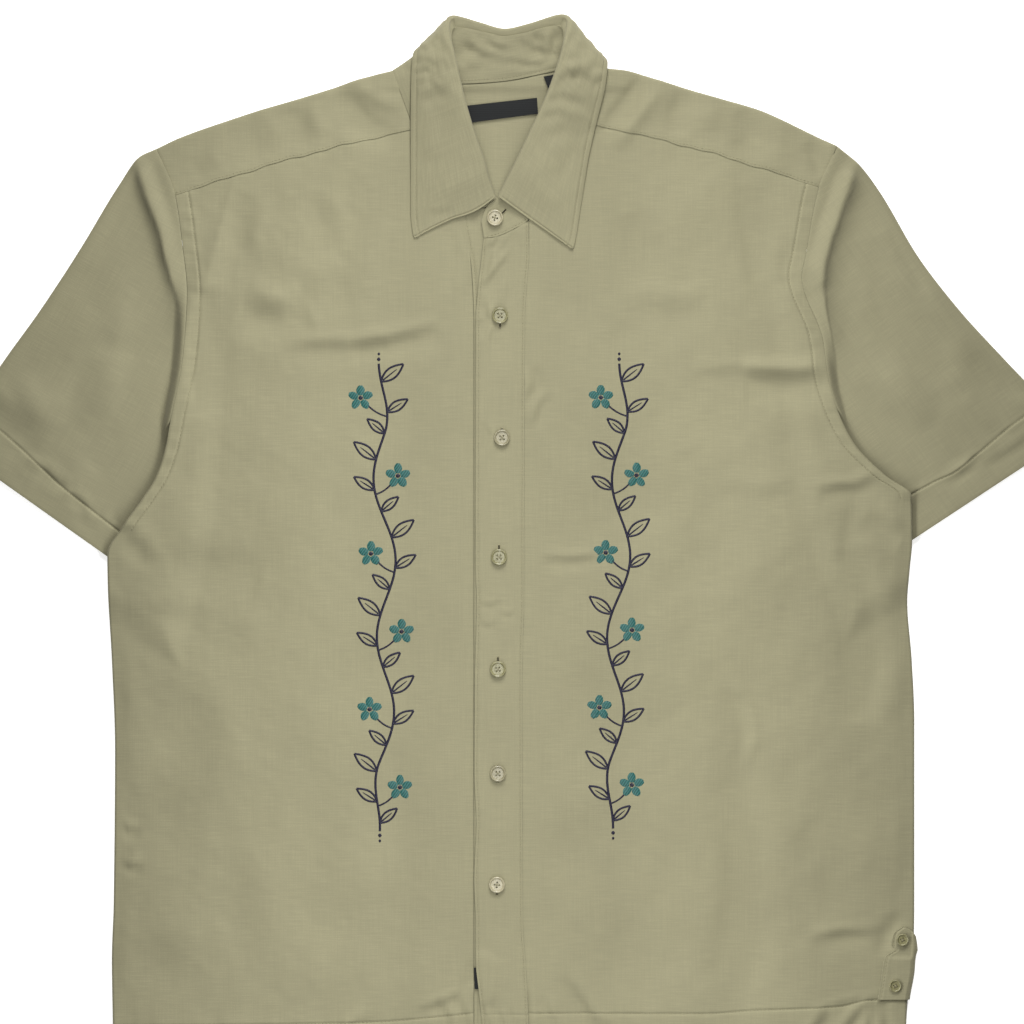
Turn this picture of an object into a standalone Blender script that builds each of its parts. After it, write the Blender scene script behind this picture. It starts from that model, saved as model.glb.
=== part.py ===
"""Short-sleeved button-front shirt lying flat, face up, on its back.

Sizes and places are in millimetres and become metres when a mesh is made. +X is the wearer's left,
+Y runs up to the collar and +Z points away from the table. Z = 0 is the table.
"""
import math

import bmesh
import bpy
from mathutils import Vector

MM = 0.001

# Driving sizes
CLOTH = 1.2             # one layer of linen with its turnings
GAP = 0.35              # between two pieces at a seam, or one lying on another
BODY = 4.0              # height of the front lying on the back
TUCKED = 2.9            # height of the corner of a sleeve where the body lies on it
TUCK_LIFT = 3.5         # how far that corner lifts the body
NECK_LIFT = 1.75        # how far the collar's fall lifts the neck behind
NECK_LIFTED = 340       # height up the shirt where that starts
NECK_SETTLED = 7        # and how much further up it is reached
NECK_MIDDLE = -9        # the middle of the neck, across
NECK_HALF = 94          # half the width that is lifted
NECK_FADE = 10          # and how far beyond it settles
LAP = BODY + GAP + CLOTH        # height of the placket where it laps the button stand
LAP_FROM = 38           # the left front starts to rise to that height here, across
LAP_RUN = 25            # and reaches it this much nearer the middle
NECKLINE_FROM = 300     # no lap above this height up the shirt
FOLD_LIMIT = 1.15       # no soft fold is deeper than this
COLLAR_ROLL = 3.4       # the collar's fall stands this far off its stand at the fold
COLLAR_STRIP = 5.0      # depth of the fall's own strip inside the fold
BUTTON_DIAMETER = 12.7
SMALL_BUTTON_DIAMETER = 9.4
BUTTON_DEPTH = 2.6
BUTTON_HOLES = 4
BUTTON_HOLE_DIAMETER = 1.5
BUTTON_STEPS = 16
HOLE_STEPS = 6
EDGE_TURNS = (12, 20, 55, 90)   # a layer turning round a side seam, in degrees up from its middle
FOLD_TURNS = (90, 45, 0, -45, -90)      # and one going right round a fold
CURL_FULL = 0           # the body's edge is turned right over below this height
CURL_TOP = 130          # and lies open above this one

# The side seams, hem to underarm: height up the shirt, place across it
SIDE_RIGHT = ((-402, -311), (-335, -312.5), (-288, -311), (-171, -310), (-101, -312.5), (-54, -315),
              (-18.3, -315.7))
SIDE_LEFT = ((-402, 306), (-366, 308), (-340, 312), (-288, 313), (-148, 313), (-101, 311), (-54, 307.5),
             (-31, 309), (-8, 311), (26.9, 310.6))

# The armholes, shoulder to underarm: height up the shirt, place across it
ARMHOLE_RIGHT = ((297.5, -277.5), (261, -262.7), (223.5, -257.2), (183.7, -253.3), (136, -256.4),
                 (84, -266.5), (64, -270.4), (41, -278.2), (24.6, -288.4), (2.7, -304))
ARMHOLE_LEFT = ((299.5, 252.5), (267.2, 238.1), (214.9, 228), (197.7, 224.8), (148.6, 241.2), (119, 245.1),
                (93.2, 252.9), (68.3, 265.4), (42.5, 290.4), (26.9, 310.6))
YOKE_SEAM_FRONT = 1     # the armhole point where the front meets the yoke
YOKE_SEAM_BACK = 2      # and where the back does

# The fronts' middle edges, hem to shoulder: height, place. Above the collar's end they are the neckline.
CENTRE_RIGHT = ((-402, -30.5), (160, -30.5), (185, -31.2), (210, -33), (243, -37.6), (262, -47),
                (282, -58), (300, -70), (312.4, -77.3))
CENTRE_LEFT = ((-402, 13), (-340, 10.5), (-303, 8), (-118, 7.5), (-54, 8.8), (165, 9.6), (190, 11),
               (215, 12.7), (241.4, 12.7), (262, 23), (281, 38.5), (299, 53.5), (316, 62.5))

# Rows of the fronts above the side seam: height at the armhole, height at the middle
FRONT_ROWS_RIGHT = ((2.7, 2.7), (24.6, 26), (41, 48), (64, 76), (84, 104), (110, 132), (136, 160), (160, 185),
                    (183.7, 210), (223.5, 243), (233, 262), (242, 282), (251, 300), (261, 312.4))
FRONT_ROWS_LEFT = ((26.9, 26.9), (42.5, 46), (68.3, 76), (93.2, 104), (119, 132), (148.6, 165), (175, 190),
                   (197.7, 215), (214.9, 241.4), (228, 262), (241, 281), (254, 299), (267.2, 316))
SIDE_ROWS = (-402, -385, -366, -340, -303, -262, -221, -185, -148, -118, -92, -72, -54)
ARMPIT_ROWS_RIGHT = (-36, -18.3)
ARMPIT_ROWS_LEFT = (-31, -8, 9)
FRONT_COLUMNS = (0.05, 0.1, 0.155, 0.22, 0.3, 0.39, 0.48, 0.58, 0.68, 0.79, 0.9, 1.0)
YOKE_SEAM_BOW = 3.5     # how far the front yoke seams rise over a straight line

# The back: columns in from each side, and its last rows below the yoke
BACK_COLUMNS = (14.5, 29, 45, 64, 88, 115, 180)
BACK_ROWS_RIGHT = (-402, -290, -171, -92, -72, -54, -36, -27, -18.3)
BACK_ROWS_LEFT = (-402, -288, -148, -92, -72, -54, -31, -8, 9)

# The shoulder line at the top fold of the yoke: place across, height
SHOULDER_RIGHT = ((-277.5, 297.5), (-259.5, 306), (-219.8, 320.2), (-196, 328), (-169, 335.8), (-141, 344.4),
                  (-120.7, 351.4), (-94.2, 358))
SHOULDER_LEFT = ((73.5, 360), (87.5, 358.6), (112.5, 351.4), (137.5, 343.6), (164.8, 335.8), (191.3, 328),
                 (209.2, 320.2), (239.7, 305.4), (252.5, 299.5))
# The back neckline between the shoulders: place across, height
BACK_NECK = ((-94.2, 354), (-80, 350), (-60, 347.8), (-39, 347.5), (-5, 349.8), (23, 355.3), (38, 358.2),
             (55, 358.6), (73.5, 356))
YOKE_STEPS = (0, 0.12, 0.28, 0.46, 0.64, 0.82, 1)
YOKE_FRONT_STEPS = (0, 0.35, 0.7)
YOKE_BACK_STEPS = (0.25, 0.5, 0.75, 1)
NECK_ROWS = (3, 9, 14)

# The foot of each sleeve's armhole, which lies under the body: height, place
TUCKED_RIGHT = ((60, -267.5), (35, -268.5), (8, -271))
TUCKED_LEFT = ((66, 254.5), (42, 257), (20, 262))
SHARED_RIGHT = 6        # how many armhole points the sleeve and the body share above it
SHARED_LEFT = 7

# The sleeves: the corners of the hem, the upper one at the fold and the lower one under the body, and the
# cap's fold from shoulder to hem
HEM_RIGHT = ((-438.2, 66.7), (-284, -43))
HEM_LEFT = ((438.2, 76.4), (279.7, -28.4))
CAP_RIGHT = ((-277.5, 297.5), (-290.7, 291.3), (-306.3, 270.3), (-337.5, 218.8), (-368.7, 171.2),
             (-400, 127.5), (-438.2, 66.7))
CAP_LEFT = ((252.5, 299.5), (270, 285), (285.5, 264.8), (316.6, 212.5), (347.8, 172), (379.2, 137.7),
            (438.2, 76.4))
SLEEVE_STEPS = (0, 0.05, 0.1, 0.18, 0.3, 0.45, 0.6, 0.74, 0.88, 1)

# The part of each sleeve that the body covers
COVERED_RIGHT = ((-266.5, 84), (-316.5, -20.7), (-284, -43), (-271, 8))
COVERED_LEFT = ((252.9, 93.2), (262, 20), (279.7, -28.4), (312, -8.2), (312, 26.9))
COVER_REACH = 18        # the body is lifted fully this far round it
COVER_FADE = 24         # and settles over this much more
SINK_REACH = 62         # the sleeve starts to sink this far from it
SINK_RUN = 56           # and is down after this much

# The largest soft folds: from, to, half its width and how deep it is
BODY_FOLDS = (
    ((-225, 180), (-140, 178), 22, 0.7),
    ((-178, 142), (-66, 156), 10, 0.6),
    ((-236, 190), (-236, 110), 16, 0.5),
    ((84, 172), (162, 176), 18, 0.6),
    ((170, 121), (250, 119), 12, 0.6),
    ((248, 30), (280, 33), 14, 0.6),
    ((178, -125), (176, -210), 16, 0.5),
    ((162, -220), (164, -366), 14, 0.4),
    ((-280, -20), (-220, -40), 22, 0.6),
    ((264, -15), (262, -117), 18, 0.5),
)
YOKE_FOLDS = (
    ((-131, 340), (-88, 322), 16, 0.7),
    ((99, 353), (68, 312), 9, 0.7),
)
SLEEVE_FOLDS_RIGHT = (
    ((-291, 273), (-281, 240), 9, 1.0),
    ((-281, 240), (-262, 190), 8, 1.1),
    ((-262, 190), (-260, 140), 5, 0.9),
    ((-372, 60), (-312, 8), 9, 0.5),
)
SLEEVE_FOLDS_LEFT = (
    ((265, 273), (255, 240), 10, 1.0),
    ((255, 240), (243, 187), 8, 1.1),
    ((243, 187), (251, 140), 5, 0.9),
    ((402, 88), (335, 38), 9, 0.5),
)

# The placket's free edge, hem to collar: height, place. Its other edge meets the left front.
PLACKET_EDGE = ((-402, -22), (-385, -23.6), (-362, -26), (-352, -27.2), (-340, -28.4), (-303, -28.7),
                (-272, -30), (-227, -28.2), (-188, -29.8), (-118, -29.4), (-54, -28), (-23, -28.9),
                (60, -28.7), (165, -28.5), (190, -26.7), (215, -24))
PLACKET_TOP = ((-22.6, 227.2), (-15.5, 227.8), (-8.9, 229.6), (1.5, 234.5), (12.3, 240.6))
# The button stand below it: its rows, and its free edge
STAND_ROWS = (-402, -300, -200, -100, 0, 80, 160, 185, 210)
STAND_EDGE = 6
STAND_TOP = ((-36.9, 242), (-22, 235.8), (-8, 234.4), (6, 235))

# The vent tab's rows: height, inner edge, how far it stands off the side; and its two buttons
VENT_TAB_ROWS = (
    (-309.3, 302.5, 0), (-314, 296.6, 1), (-321.8, 295.1, 1.6), (-326.4, 297.4, 1.2), (-331.9, 290, 0.4),
    (-340.5, 288, 0), (-358.4, 285.4, 0), (-365.4, 284.1, 0),
)
VENT_TAB_TURNS = (90, 60, 30, 0)
VENT_BUTTONS = (("vent_button_upper", (303.4, -318.6)), ("vent_button_lower", (297.8, -354.5)))

# Buttons down the front, from the collar's end to the hem: place
BUTTONS = ((-13.8, 243.4), (-9.9, 167.3), (-8.4, 72.2), (-10.7, -20.7), (-11.5, -108), (-11.5, -189.2),
           (-12.3, -275.7))

# The collar's stand, from its under end round the back to its buttoned end. Each row has a point on the
# neck seam and one at the top edge, both in the middle of the cloth.
STAND = (
    ((5.5, 236.2, 3.4), (4.5, 257, 3.4)),
    ((-8, 235, 3.4), (-6, 256, 3.4)),
    ((-22, 236.4, 3.4), (-17, 255, 3.4)),
    ((-37, 243.3, 3.4), (-27, 264, 3.5)),
    ((-46.6, 262.3, 3.4), (-33, 282, 6.8)),
    ((-57.6, 282.4, 3.4), (-37, 301, 10.2)),
    ((-69.6, 300.4, 3.5), (-41, 318, 12)),
    ((-76.6, 312.8, 3.6), (-43, 328, 12.8)),
    ((-81.7, 326, 3.7), (-45, 340, 13.2)),
    ((-87.6, 342, 4.9), (-46.5, 356, 13.2)),
    ((-90.9, 351, 5.2), (-47, 372, 12.6)),
    ((-92.9, 356.4, 4.8), (-47.5, 383, 10.8)),
    ((-93.5, 357.9, 3.7), (-46.5, 389.5, 8)),
    ((-92.4, 356.6, 2.5), (-43, 391.5, 5)),
    ((-80, 350.8, 2.35), (-36, 391, 4.2)),
    ((-60, 348.6, 2.35), (-26, 389, 4)),
    ((-39, 348.3, 2.35), (-17, 387, 4)),
    ((-5, 350.6, 2.35), (-6.5, 385, 4)),
    ((23, 356.1, 2.35), (11, 388, 4)),
    ((38, 359, 2.35), (23, 391.5, 4.1)),
    ((55, 359.3, 2.35), (32, 393, 4.4)),
    ((70, 359.1, 2.5), (35.5, 393, 5.4)),
    ((72.6, 360, 3.7), (38.5, 391, 8)),
    ((72.4, 358.4, 4.8), (39.5, 385, 10.8)),
    ((70.9, 352.5, 5.2), (38.5, 373.5, 12.6)),
    ((67.8, 340, 4.8), (35.5, 360, 13.2)),
    ((64.8, 328, 3.9), (31, 345, 13.2)),
    ((61.6, 316, 3.7), (25, 329, 12.6)),
    ((53, 299.4, 3.7), (17.5, 313, 11.4)),
    ((38, 281.4, 3.9), (11, 296.5, 10.2)),
    ((22.6, 262.6, 4.4), (3, 280, 8.2)),
    ((12.2, 242.2, 4.95), (-4.5, 263, 5.6)),
    ((1.3, 235.2, 4.95), (-8.5, 258.5, 4.95)),
    ((-8.9, 230.3, 4.95), (-14, 255.8, 4.95)),
    ((-15.5, 228.5, 4.95), (-19.6, 250.4, 4.95)),
    ((-22.4, 227.9, 4.95), (-24.4, 240, 4.95)),
)

# The collar's fall, from the point on the wearer's right round the back to the other: the fold, the outer
# edge, which way the outside faces in degrees up from level, and how much of the strip inside it has
FALL = (
    ((-14.8, 260.5, 6), (-77, 227.4, 5.4), 90, 0),
    ((-18, 272, 7.8), (-79.2, 243, 5.4), 90, 0.5),
    ((-22, 287, 10), (-79.4, 263, 5.4), 90, 1),
    ((-28, 304, 12), (-79.4, 284, 5.6), 90, 1),
    ((-33, 320, 13.4), (-79.4, 304, 6.2), 90, 1),
    ((-37.5, 336, 14.4), (-79.3, 322, 7.4), 90, 1),
    ((-41.3, 352, 14.8), (-79, 340, 8.8), 90, 1),
    ((-45, 370, 14.4), (-78.6, 357, 9.6), 80, 1),
    ((-48.5, 386, 12.6), (-77.5, 370, 9.2), 50, 1),
    ((-48, 395.5, 9), (-75.5, 374, 5.8), 0, 1),
    ((-46, 398.5, 7.3), (-75.5, 372.5, 2.3), -30, 1),
    ((-43, 399.6, 5.6), (-74, 368, 0.8), -60, 1),
    ((-36, 398.4, 4.3), (-64, 353, 0.62), -85, 1),
    ((-25, 395.2, 4), (-42, 345.8, 0.62), -90, 1),
    ((-6.8, 390.5, 4), (-5.5, 347.5, 0.62), -90, 1),
    ((11, 394, 4), (23, 352.8, 0.62), -90, 1),
    ((25, 398.4, 4.2), (44, 356, 0.62), -90, 1),
    ((33, 400.6, 4.9), (58, 360, 0.7), -80, 1),
    ((38.5, 400, 7), (70.5, 366.5, 2), -45, 1),
    ((41.5, 395, 10.4), (73.4, 365, 7), 10, 1),
    ((40.3, 385, 13), (73, 355, 9), 55, 1),
    ((37.5, 371, 14.6), (71.3, 343, 8.2), 85, 1),
    ((33.3, 357, 14.8), (67.6, 328, 7.2), 90, 1),
    ((27.5, 341, 14.4), (63.2, 310, 6.6), 90, 1),
    ((20.5, 324.5, 13.4), (59, 291, 6.2), 90, 1),
    ((12.6, 308, 12.2), (55.6, 270, 5.9), 90, 1),
    ((5, 292, 10.8), (52.4, 250, 5.8), 90, 0.9),
    ((-3, 276.5, 9), (49.8, 232, 5.7), 90, 0.5),
    ((-10.5, 260.5, 7.6), (47, 218.8, 5.7), 90, 0),
)
FALL_SWAY = (4.5, 1.5)  # how far the first rows, at the wearer's right point, bend to and fro
STAND_ACROSS = (0, 0.33, 0.67, 1)
FALL_ACROSS = (0.2, 0.45, 0.72, 1)
FALL_CROWN = 1.3        # how far the fall bulges between its fold and its edge
FALL_ROLL_TURNS = (-90, -45, 0, 45, 90)
COLLAR_MIDDLE = (-4, 340, 0)    # the point that the collar goes round

# Labels: the corners in the middle of each, from its lower left
NECK_LABEL = ((-32.5, 317.9), (19.7, 324.9), (18.9, 337.3), (-35.7, 331.2))
LABEL_STEPS = (0, 0.2, 0.4, 0.6, 0.8, 1)
SIZE_TAB = ((27.5, 344.6), (38, 346.6), (36.5, 356.2), (24, 353.6))
CARE_TAG = ((-29.6, -357), (-20, -357.6), (-20, -341), (-30.4, -340.4))
TAG_THICKNESS = 1.0
TAG_LIFT = TAG_THICKNESS + GAP  # how far the care tag lifts the placket
TAG_MIDDLE = (-24, -349)
TAG_HALF = 8            # half the tag's height
TAG_CLEAR = 8           # the placket is lifted fully this far round it
TAG_FADE = 8            # and settles over this much more


def between(a, b, share):
    """The point a share of the way from a to b."""
    return tuple(p + (q - p) * share for p, q in zip(a, b))


def at(table, key):
    """The second value of a table of pairs where its first is the key, on straight lines between rows."""
    rows = sorted(table)
    for (low, first), (high, second) in zip(rows, rows[1:]):
        if key <= high:
            return first + (second - first) * (key - low) / (high - low)
    return rows[-1][1]


def ease(value):
    """0 below 0, 1 above 1, and a smooth step between."""
    value = min(max(value, 0.0), 1.0)
    return value * value * (3 - 2 * value)


def beyond(point, corners):
    """How far a point lies outside a shape whose corners run anticlockwise; less than 0 inside it."""
    furthest = -math.inf
    for (ax, ay), (bx, by) in zip(corners, corners[1:] + corners[:1]):
        length = math.hypot(bx - ax, by - ay)
        outward = ((by - ay) * (point[0] - ax) - (bx - ax) * (point[1] - ay)) / length
        furthest = max(furthest, outward)
    return furthest


def off_line(point, start, end):
    """The distance from a point to a straight stretch."""
    along = Vector(end) - Vector(start)
    share = (Vector(point) - Vector(start)).dot(along) / along.length_squared
    nearest = Vector(start) + along * min(max(share, 0.0), 1.0)
    return (Vector(point) - nearest).length


def folds(x, y, rows):
    """How deep the soft folds are at a place."""
    depth = 0.0
    for start, end, half_width, deep in rows:
        depth += deep * ease(1 - off_line((x, y), start, end) / half_width)
    return min(depth, FOLD_LIMIT)


def base(x, y):
    """Height of the body's underside: the table, but for the sleeves' corners and the collar behind."""
    away = min(beyond((x, y), COVERED_RIGHT), beyond((x, y), COVERED_LEFT))
    corner = ease(1 - (away - COVER_REACH) / COVER_FADE)
    beside = (NECK_HALF + NECK_FADE - abs(x - NECK_MIDDLE)) / NECK_FADE
    neck = ease((y - NECK_LIFTED) / NECK_SETTLED) * ease(beside)
    return max(TUCK_LIFT * corner, NECK_LIFT * neck)


def body_top(x, y):
    """Height of the fronts' and the yoke's upper side."""
    lap = (LAP - BODY) * ease((LAP_FROM - x) / LAP_RUN) if x > 0 and y < NECKLINE_FROM else 0.0
    return base(x, y) + BODY + lap - folds(x, y, BODY_FOLDS + YOKE_FOLDS)


def sleeve_top(x, y, covered, rows):
    """Height of a sleeve's upper side."""
    corner = ease((SINK_REACH - beyond((x, y), covered)) / SINK_RUN)
    return BODY - (BODY - TUCKED) * corner - min(folds(x, y, rows), FOLD_LIMIT * (1 - corner))


def edge_turn(degrees, curl=1.0):
    """A layer turning over at an edge, by its way out and its way down since it left the flat.

    It turns on half the body's height; a curl under 1 turns it over less, on the same length of cloth.
    """
    length = BODY / 2 * math.radians(90 - degrees)
    bend = max(curl, 0.01) * 2 / BODY
    return math.sin(bend * length) / bend, (1 - math.cos(bend * length)) / bend


def armhole_curl(y):
    """How far the body's edge turns over: fully at the side seam and not at all high up the armhole."""
    return ease((CURL_TOP - y) / (CURL_TOP - CURL_FULL))


def material(name, colour, roughness):
    """A plain material in linear colour."""
    made = bpy.data.materials.new(name)
    made.use_nodes = True
    shader = made.node_tree.nodes["Principled BSDF"]
    shader.inputs["Base Color"].default_value = (*colour, 1)
    shader.inputs["Roughness"].default_value = roughness
    return made


def cloth(name, across, along, place, finish, wall=CLOTH, offset=-1.0, leave_out=None):
    """A sheet of cloth: a grid whose corners are put in place one by one, then given its wall.

    across and along list the values that place gets; leave_out says which squares have no cloth.
    """
    sheet = bmesh.new()
    bmesh.ops.create_grid(sheet, x_segments=len(across) - 1, y_segments=len(along) - 1, size=0.5)
    if leave_out:
        bare = []
        for face in sheet.faces:
            middle = face.calc_center_median()
            column = math.floor((middle.x + 0.5) * (len(across) - 1))
            row = math.floor((middle.y + 0.5) * (len(along) - 1))
            if leave_out(column, row):
                bare.append(face)
        bmesh.ops.delete(sheet, geom=bare, context="FACES")
    for corner in sheet.verts:
        column = round((corner.co.x + 0.5) * (len(across) - 1))
        row = round((corner.co.y + 0.5) * (len(along) - 1))
        corner.co = Vector(place(across[column], along[row])) * MM
    mesh = bpy.data.meshes.new(name)
    sheet.to_mesh(mesh)
    sheet.free()
    mesh.shade_smooth()
    mesh.materials.append(finish)
    piece = bpy.data.objects.new(name, mesh)
    shirt.objects.link(piece)
    solid = piece.modifiers.new("Wall", "SOLIDIFY")
    solid.thickness = wall * MM
    solid.offset = offset
    return piece


def front(name, side, armhole, centre, rows, armpit_rows, finish):
    """A front: columns from the side or armhole to the middle edge, rows from the hem to the yoke seam."""
    outline = tuple(side) + tuple(armhole)
    levels = [(y, y) for y in SIDE_ROWS + armpit_rows] + list(rows)
    wearers_right = side[0][1] < 0
    turns = [("turn", turn) for turn in EDGE_TURNS]
    columns = turns + [("share", share) for share in FRONT_COLUMNS]
    if not wearers_right:
        columns.reverse()

    def place(column, level):
        outer_y, inner_y = level
        outer = (at(outline, outer_y), outer_y)
        inner = (at(centre, inner_y), inner_y)
        kind, value = column
        if kind == "share":
            x, y = between(outer, inner, value)
            rise_over_line = YOKE_SEAM_BOW * ease((inner_y - 240) / 72) * math.sin(math.pi * value)
            return x, y + rise_over_line, body_top(x, y)
        curl = armhole_curl(outer_y)
        out, down = edge_turn(value, curl)
        inset = edge_turn(EDGE_TURNS[0], curl)[0] - out
        x, y = between(outer, inner, inset / math.dist(outer, inner))
        return x, y, body_top(x, y) - down

    return cloth(name, columns, levels, place, finish)


def back(finish):
    """The back below the yoke, its outside on the table."""
    right_levels = list(BACK_ROWS_RIGHT) + [y for y, x in reversed(ARMHOLE_RIGHT[YOKE_SEAM_BACK:])]
    left_levels = list(BACK_ROWS_LEFT) + [y for y, x in reversed(ARMHOLE_LEFT[YOKE_SEAM_BACK:])]
    levels = list(zip(right_levels, left_levels))
    last = len(levels) - 1
    turns = EDGE_TURNS
    columns = [("right", turn, None) for turn in turns]
    columns += [("right", None, inward) for inward in BACK_COLUMNS]
    columns += [("middle", None, None)]
    columns += [("left", None, inward) for inward in reversed(BACK_COLUMNS)]
    columns += [("left", turn, None) for turn in reversed(turns)]
    columns.reverse()

    def place(column, level):
        right_y, left_y = level
        right = (at(SIDE_RIGHT + ARMHOLE_RIGHT, right_y), right_y)
        left = (at(SIDE_LEFT + ARMHOLE_LEFT, left_y), left_y)
        side, turn, inward = column
        if side == "middle":
            x, y = between(right, left, 0.5)
            return x, y - seam_drop(level), base(x, y)
        here, there = (right, left) if side == "right" else (left, right)
        up = 0.0
        if turn is not None:
            curl = armhole_curl(here[1])
            out, up = edge_turn(turn, curl)
            inward = edge_turn(EDGE_TURNS[0], curl)[0] - out
        x, y = between(here, there, inward / math.dist(here, there))
        return x, y - seam_drop(level), base(x, y) + up

    def seam_drop(level):
        return GAP if level is levels[last] else 0.0

    return cloth("back", columns, levels, place, finish)


def yoke(finish):
    """The yoke: over both shoulders from the front seams to the seam across the back, round the neck."""
    right_shoulder = [("right", step) for step in YOKE_STEPS]
    left_shoulder = [("left", step) for step in reversed(YOKE_STEPS)]
    neck = [("neck", x) for x, y in BACK_NECK[1:-1]]
    columns = right_shoulder + neck + left_shoulder
    neck_columns = range(len(right_shoulder) - 1, len(right_shoulder) + len(neck))
    rows = [("front", step) for step in YOKE_FRONT_STEPS]
    rows += [("fold", turn) for turn in FOLD_TURNS]
    first_back_row = len(rows) - 1
    rows += [("neck", drop) for drop in NECK_ROWS] + [("back", step) for step in YOKE_BACK_STEPS]
    seam_right = (ARMHOLE_RIGHT[YOKE_SEAM_BACK][1], ARMHOLE_RIGHT[YOKE_SEAM_BACK][0])
    seam_left = (ARMHOLE_LEFT[YOKE_SEAM_BACK][1], ARMHOLE_LEFT[YOKE_SEAM_BACK][0])

    def shoulder(side, step):
        """The front seam, the top fold and the back seam at one column of a shoulder."""
        table = SHOULDER_RIGHT if side == "right" else SHOULDER_LEFT
        armhole = ARMHOLE_RIGHT if side == "right" else ARMHOLE_LEFT
        centre = CENTRE_RIGHT if side == "right" else CENTRE_LEFT
        outer_fold, inner_fold = (table[0], table[-1]) if side == "right" else (table[-1], table[0])
        fold_x = outer_fold[0] + (inner_fold[0] - outer_fold[0]) * step
        fold = (fold_x, at(table, fold_x))
        outer = (armhole[YOKE_SEAM_FRONT][1], armhole[YOKE_SEAM_FRONT][0])
        inner = (centre[-1][1], centre[-1][0])
        x, y = between(outer, inner, step)
        seam = (x, y + YOKE_SEAM_BOW * math.sin(math.pi * step) + GAP)
        back_x = (seam_right if side == "right" else seam_left)[0]
        back_x += (inner_fold[0] - back_x) * step
        across = (back_x - seam_right[0]) / (seam_left[0] - seam_right[0])
        return seam, fold, between(seam_right, seam_left, across)

    def place(column, row):
        side, step = column
        kind, value = row
        if side == "neck":
            start = (step, at(BACK_NECK, step))
            across = (step - seam_right[0]) / (seam_left[0] - seam_right[0])
            end = between(seam_right, seam_left, across)
        else:
            seam, fold, end = shoulder(side, step)
            low = base(*fold)
            reach = math.dist(fold, seam)
            if kind == "front":
                foot = between(fold, seam, BODY / 2 / reach)
                x, y = between(seam, foot, value)
                return x, y, body_top(x, y)
            if kind == "fold" and value != -90:
                out, down = edge_turn(value)
                x, y = between(fold, seam, (BODY / 2 - out) / reach)
                if value == 90:
                    return x, y, body_top(x, y)
                return x, y, low + BODY - down
            start = between(fold, end, BODY / 2 / math.dist(fold, end))
        reach = math.dist(start, end)
        rest = NECK_ROWS[-1] / reach
        share = {"front": 0, "fold": 0, "neck": value / reach, "back": rest + (1 - rest) * value}[kind]
        x, y = between(start, end, share)
        return x, y, base(x, y)

    def over_neck(column, row):
        return column in neck_columns and row < first_back_row

    return cloth("yoke", columns, rows, place, finish, leave_out=over_neck)


def sleeve(name, armhole, hem, cap, covered, rows, finish):
    """A sleeve laid flat: round from the underarm over the upper layer and the fold to the lower layer."""
    points = [(x, y) for y, x in armhole]
    outward = math.copysign(1, points[0][0])
    seam = [aside(points, index, outward) for index in range(len(points))]
    lengths = [0.0]
    for start, end in zip(points, points[1:]):
        lengths.append(lengths[-1] + math.dist(start, end))
    last = len(points) - 1
    cap_lengths = [0.0]
    for start, end in zip(cap, cap[1:]):
        cap_lengths.append(cap_lengths[-1] + math.dist(start, end))

    def cap_point(share):
        reach = share * cap_lengths[-1]
        x = at(list(zip(cap_lengths, [p[0] for p in cap])), reach)
        y = at(list(zip(cap_lengths, [p[1] for p in cap])), reach)
        return x, y

    def patch(index, share):
        """A point of the flat sleeve: station on the armhole, share of the way to the hem."""
        down = lengths[index] / lengths[-1]
        x, y = between(seam[index], between(hem[0], hem[1], down), share)
        bulge_x, bulge_y = Vector(cap_point(share)) - Vector(between(cap[0], hem[0], share))
        return x + bulge_x * (1 - down), y + bulge_y * (1 - down)

    upper = [("layer", index, 90) for index in range(last, 0, -1)]
    fold = [("fold", 0, turn) for turn in FOLD_TURNS]
    lower = [("layer", index, -90) for index in range(2, last + 1)]
    around = upper + fold + lower
    along = list(SLEEVE_STEPS)
    if outward < 0:
        along.reverse()

    def place(share, station):
        kind, index, turn = station
        here = patch(index, share)
        top = sleeve_top(*here, covered, rows)
        if kind == "layer":
            return *here, top if turn > 0 else 0.0
        out, down = edge_turn(turn)
        there = patch(1 if turn > 0 else 2, share)
        x, y = between(here, there, (BODY / 2 - out) / math.dist(here, there))
        return x, y, BODY - down

    return cloth(name, along, around, place, finish)


def aside(points, index, outward):
    """A point of an open outline moved out by the seam's gap, square to the outline on both sides of it."""
    normals = []
    for start, end in zip(points, points[1:]):
        way = Vector(end) - Vector(start)
        normal = Vector((-way.y, way.x)).normalized()
        normals.append(normal * math.copysign(1, normal.x * outward))
    beside = normals[max(index - 1, 0):index + 1]
    normal = (beside[0] + beside[-1]).normalized()
    return tuple(Vector(points[index]) + normal * GAP / normal.dot(beside[0]))


def strip(name, rows, top_edge, height, finish):
    """A band up the front, from the hem to its shaped top edge. Each row has a height and both its ends."""
    last = len(top_edge) - 1

    def place(step, row):
        if row is top_edge:
            x, y = top_edge[step]
        else:
            y, left, right = row
            x = left + (right - left) * step / last
        return x, y, height(x, y)

    return cloth(name, range(last + 1), rows + [top_edge], place, finish)


def placket_top(x, y):
    """Height of the placket, which the care tag lifts near the hem."""
    away = math.hypot(x - TAG_MIDDLE[0], max(abs(y - TAG_MIDDLE[1]) - TAG_HALF, 0))
    return LAP + TAG_LIFT * ease((TAG_CLEAR + TAG_FADE - away) / TAG_FADE)


def collar_stand(finish):
    """The collar's stand, from the neck seam up to where the fall is sewn on."""
    def place(share, row):
        return between(row[0], row[1], share)

    return cloth("collar_stand", STAND_ACROSS, STAND, place, finish, offset=0.0)


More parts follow.
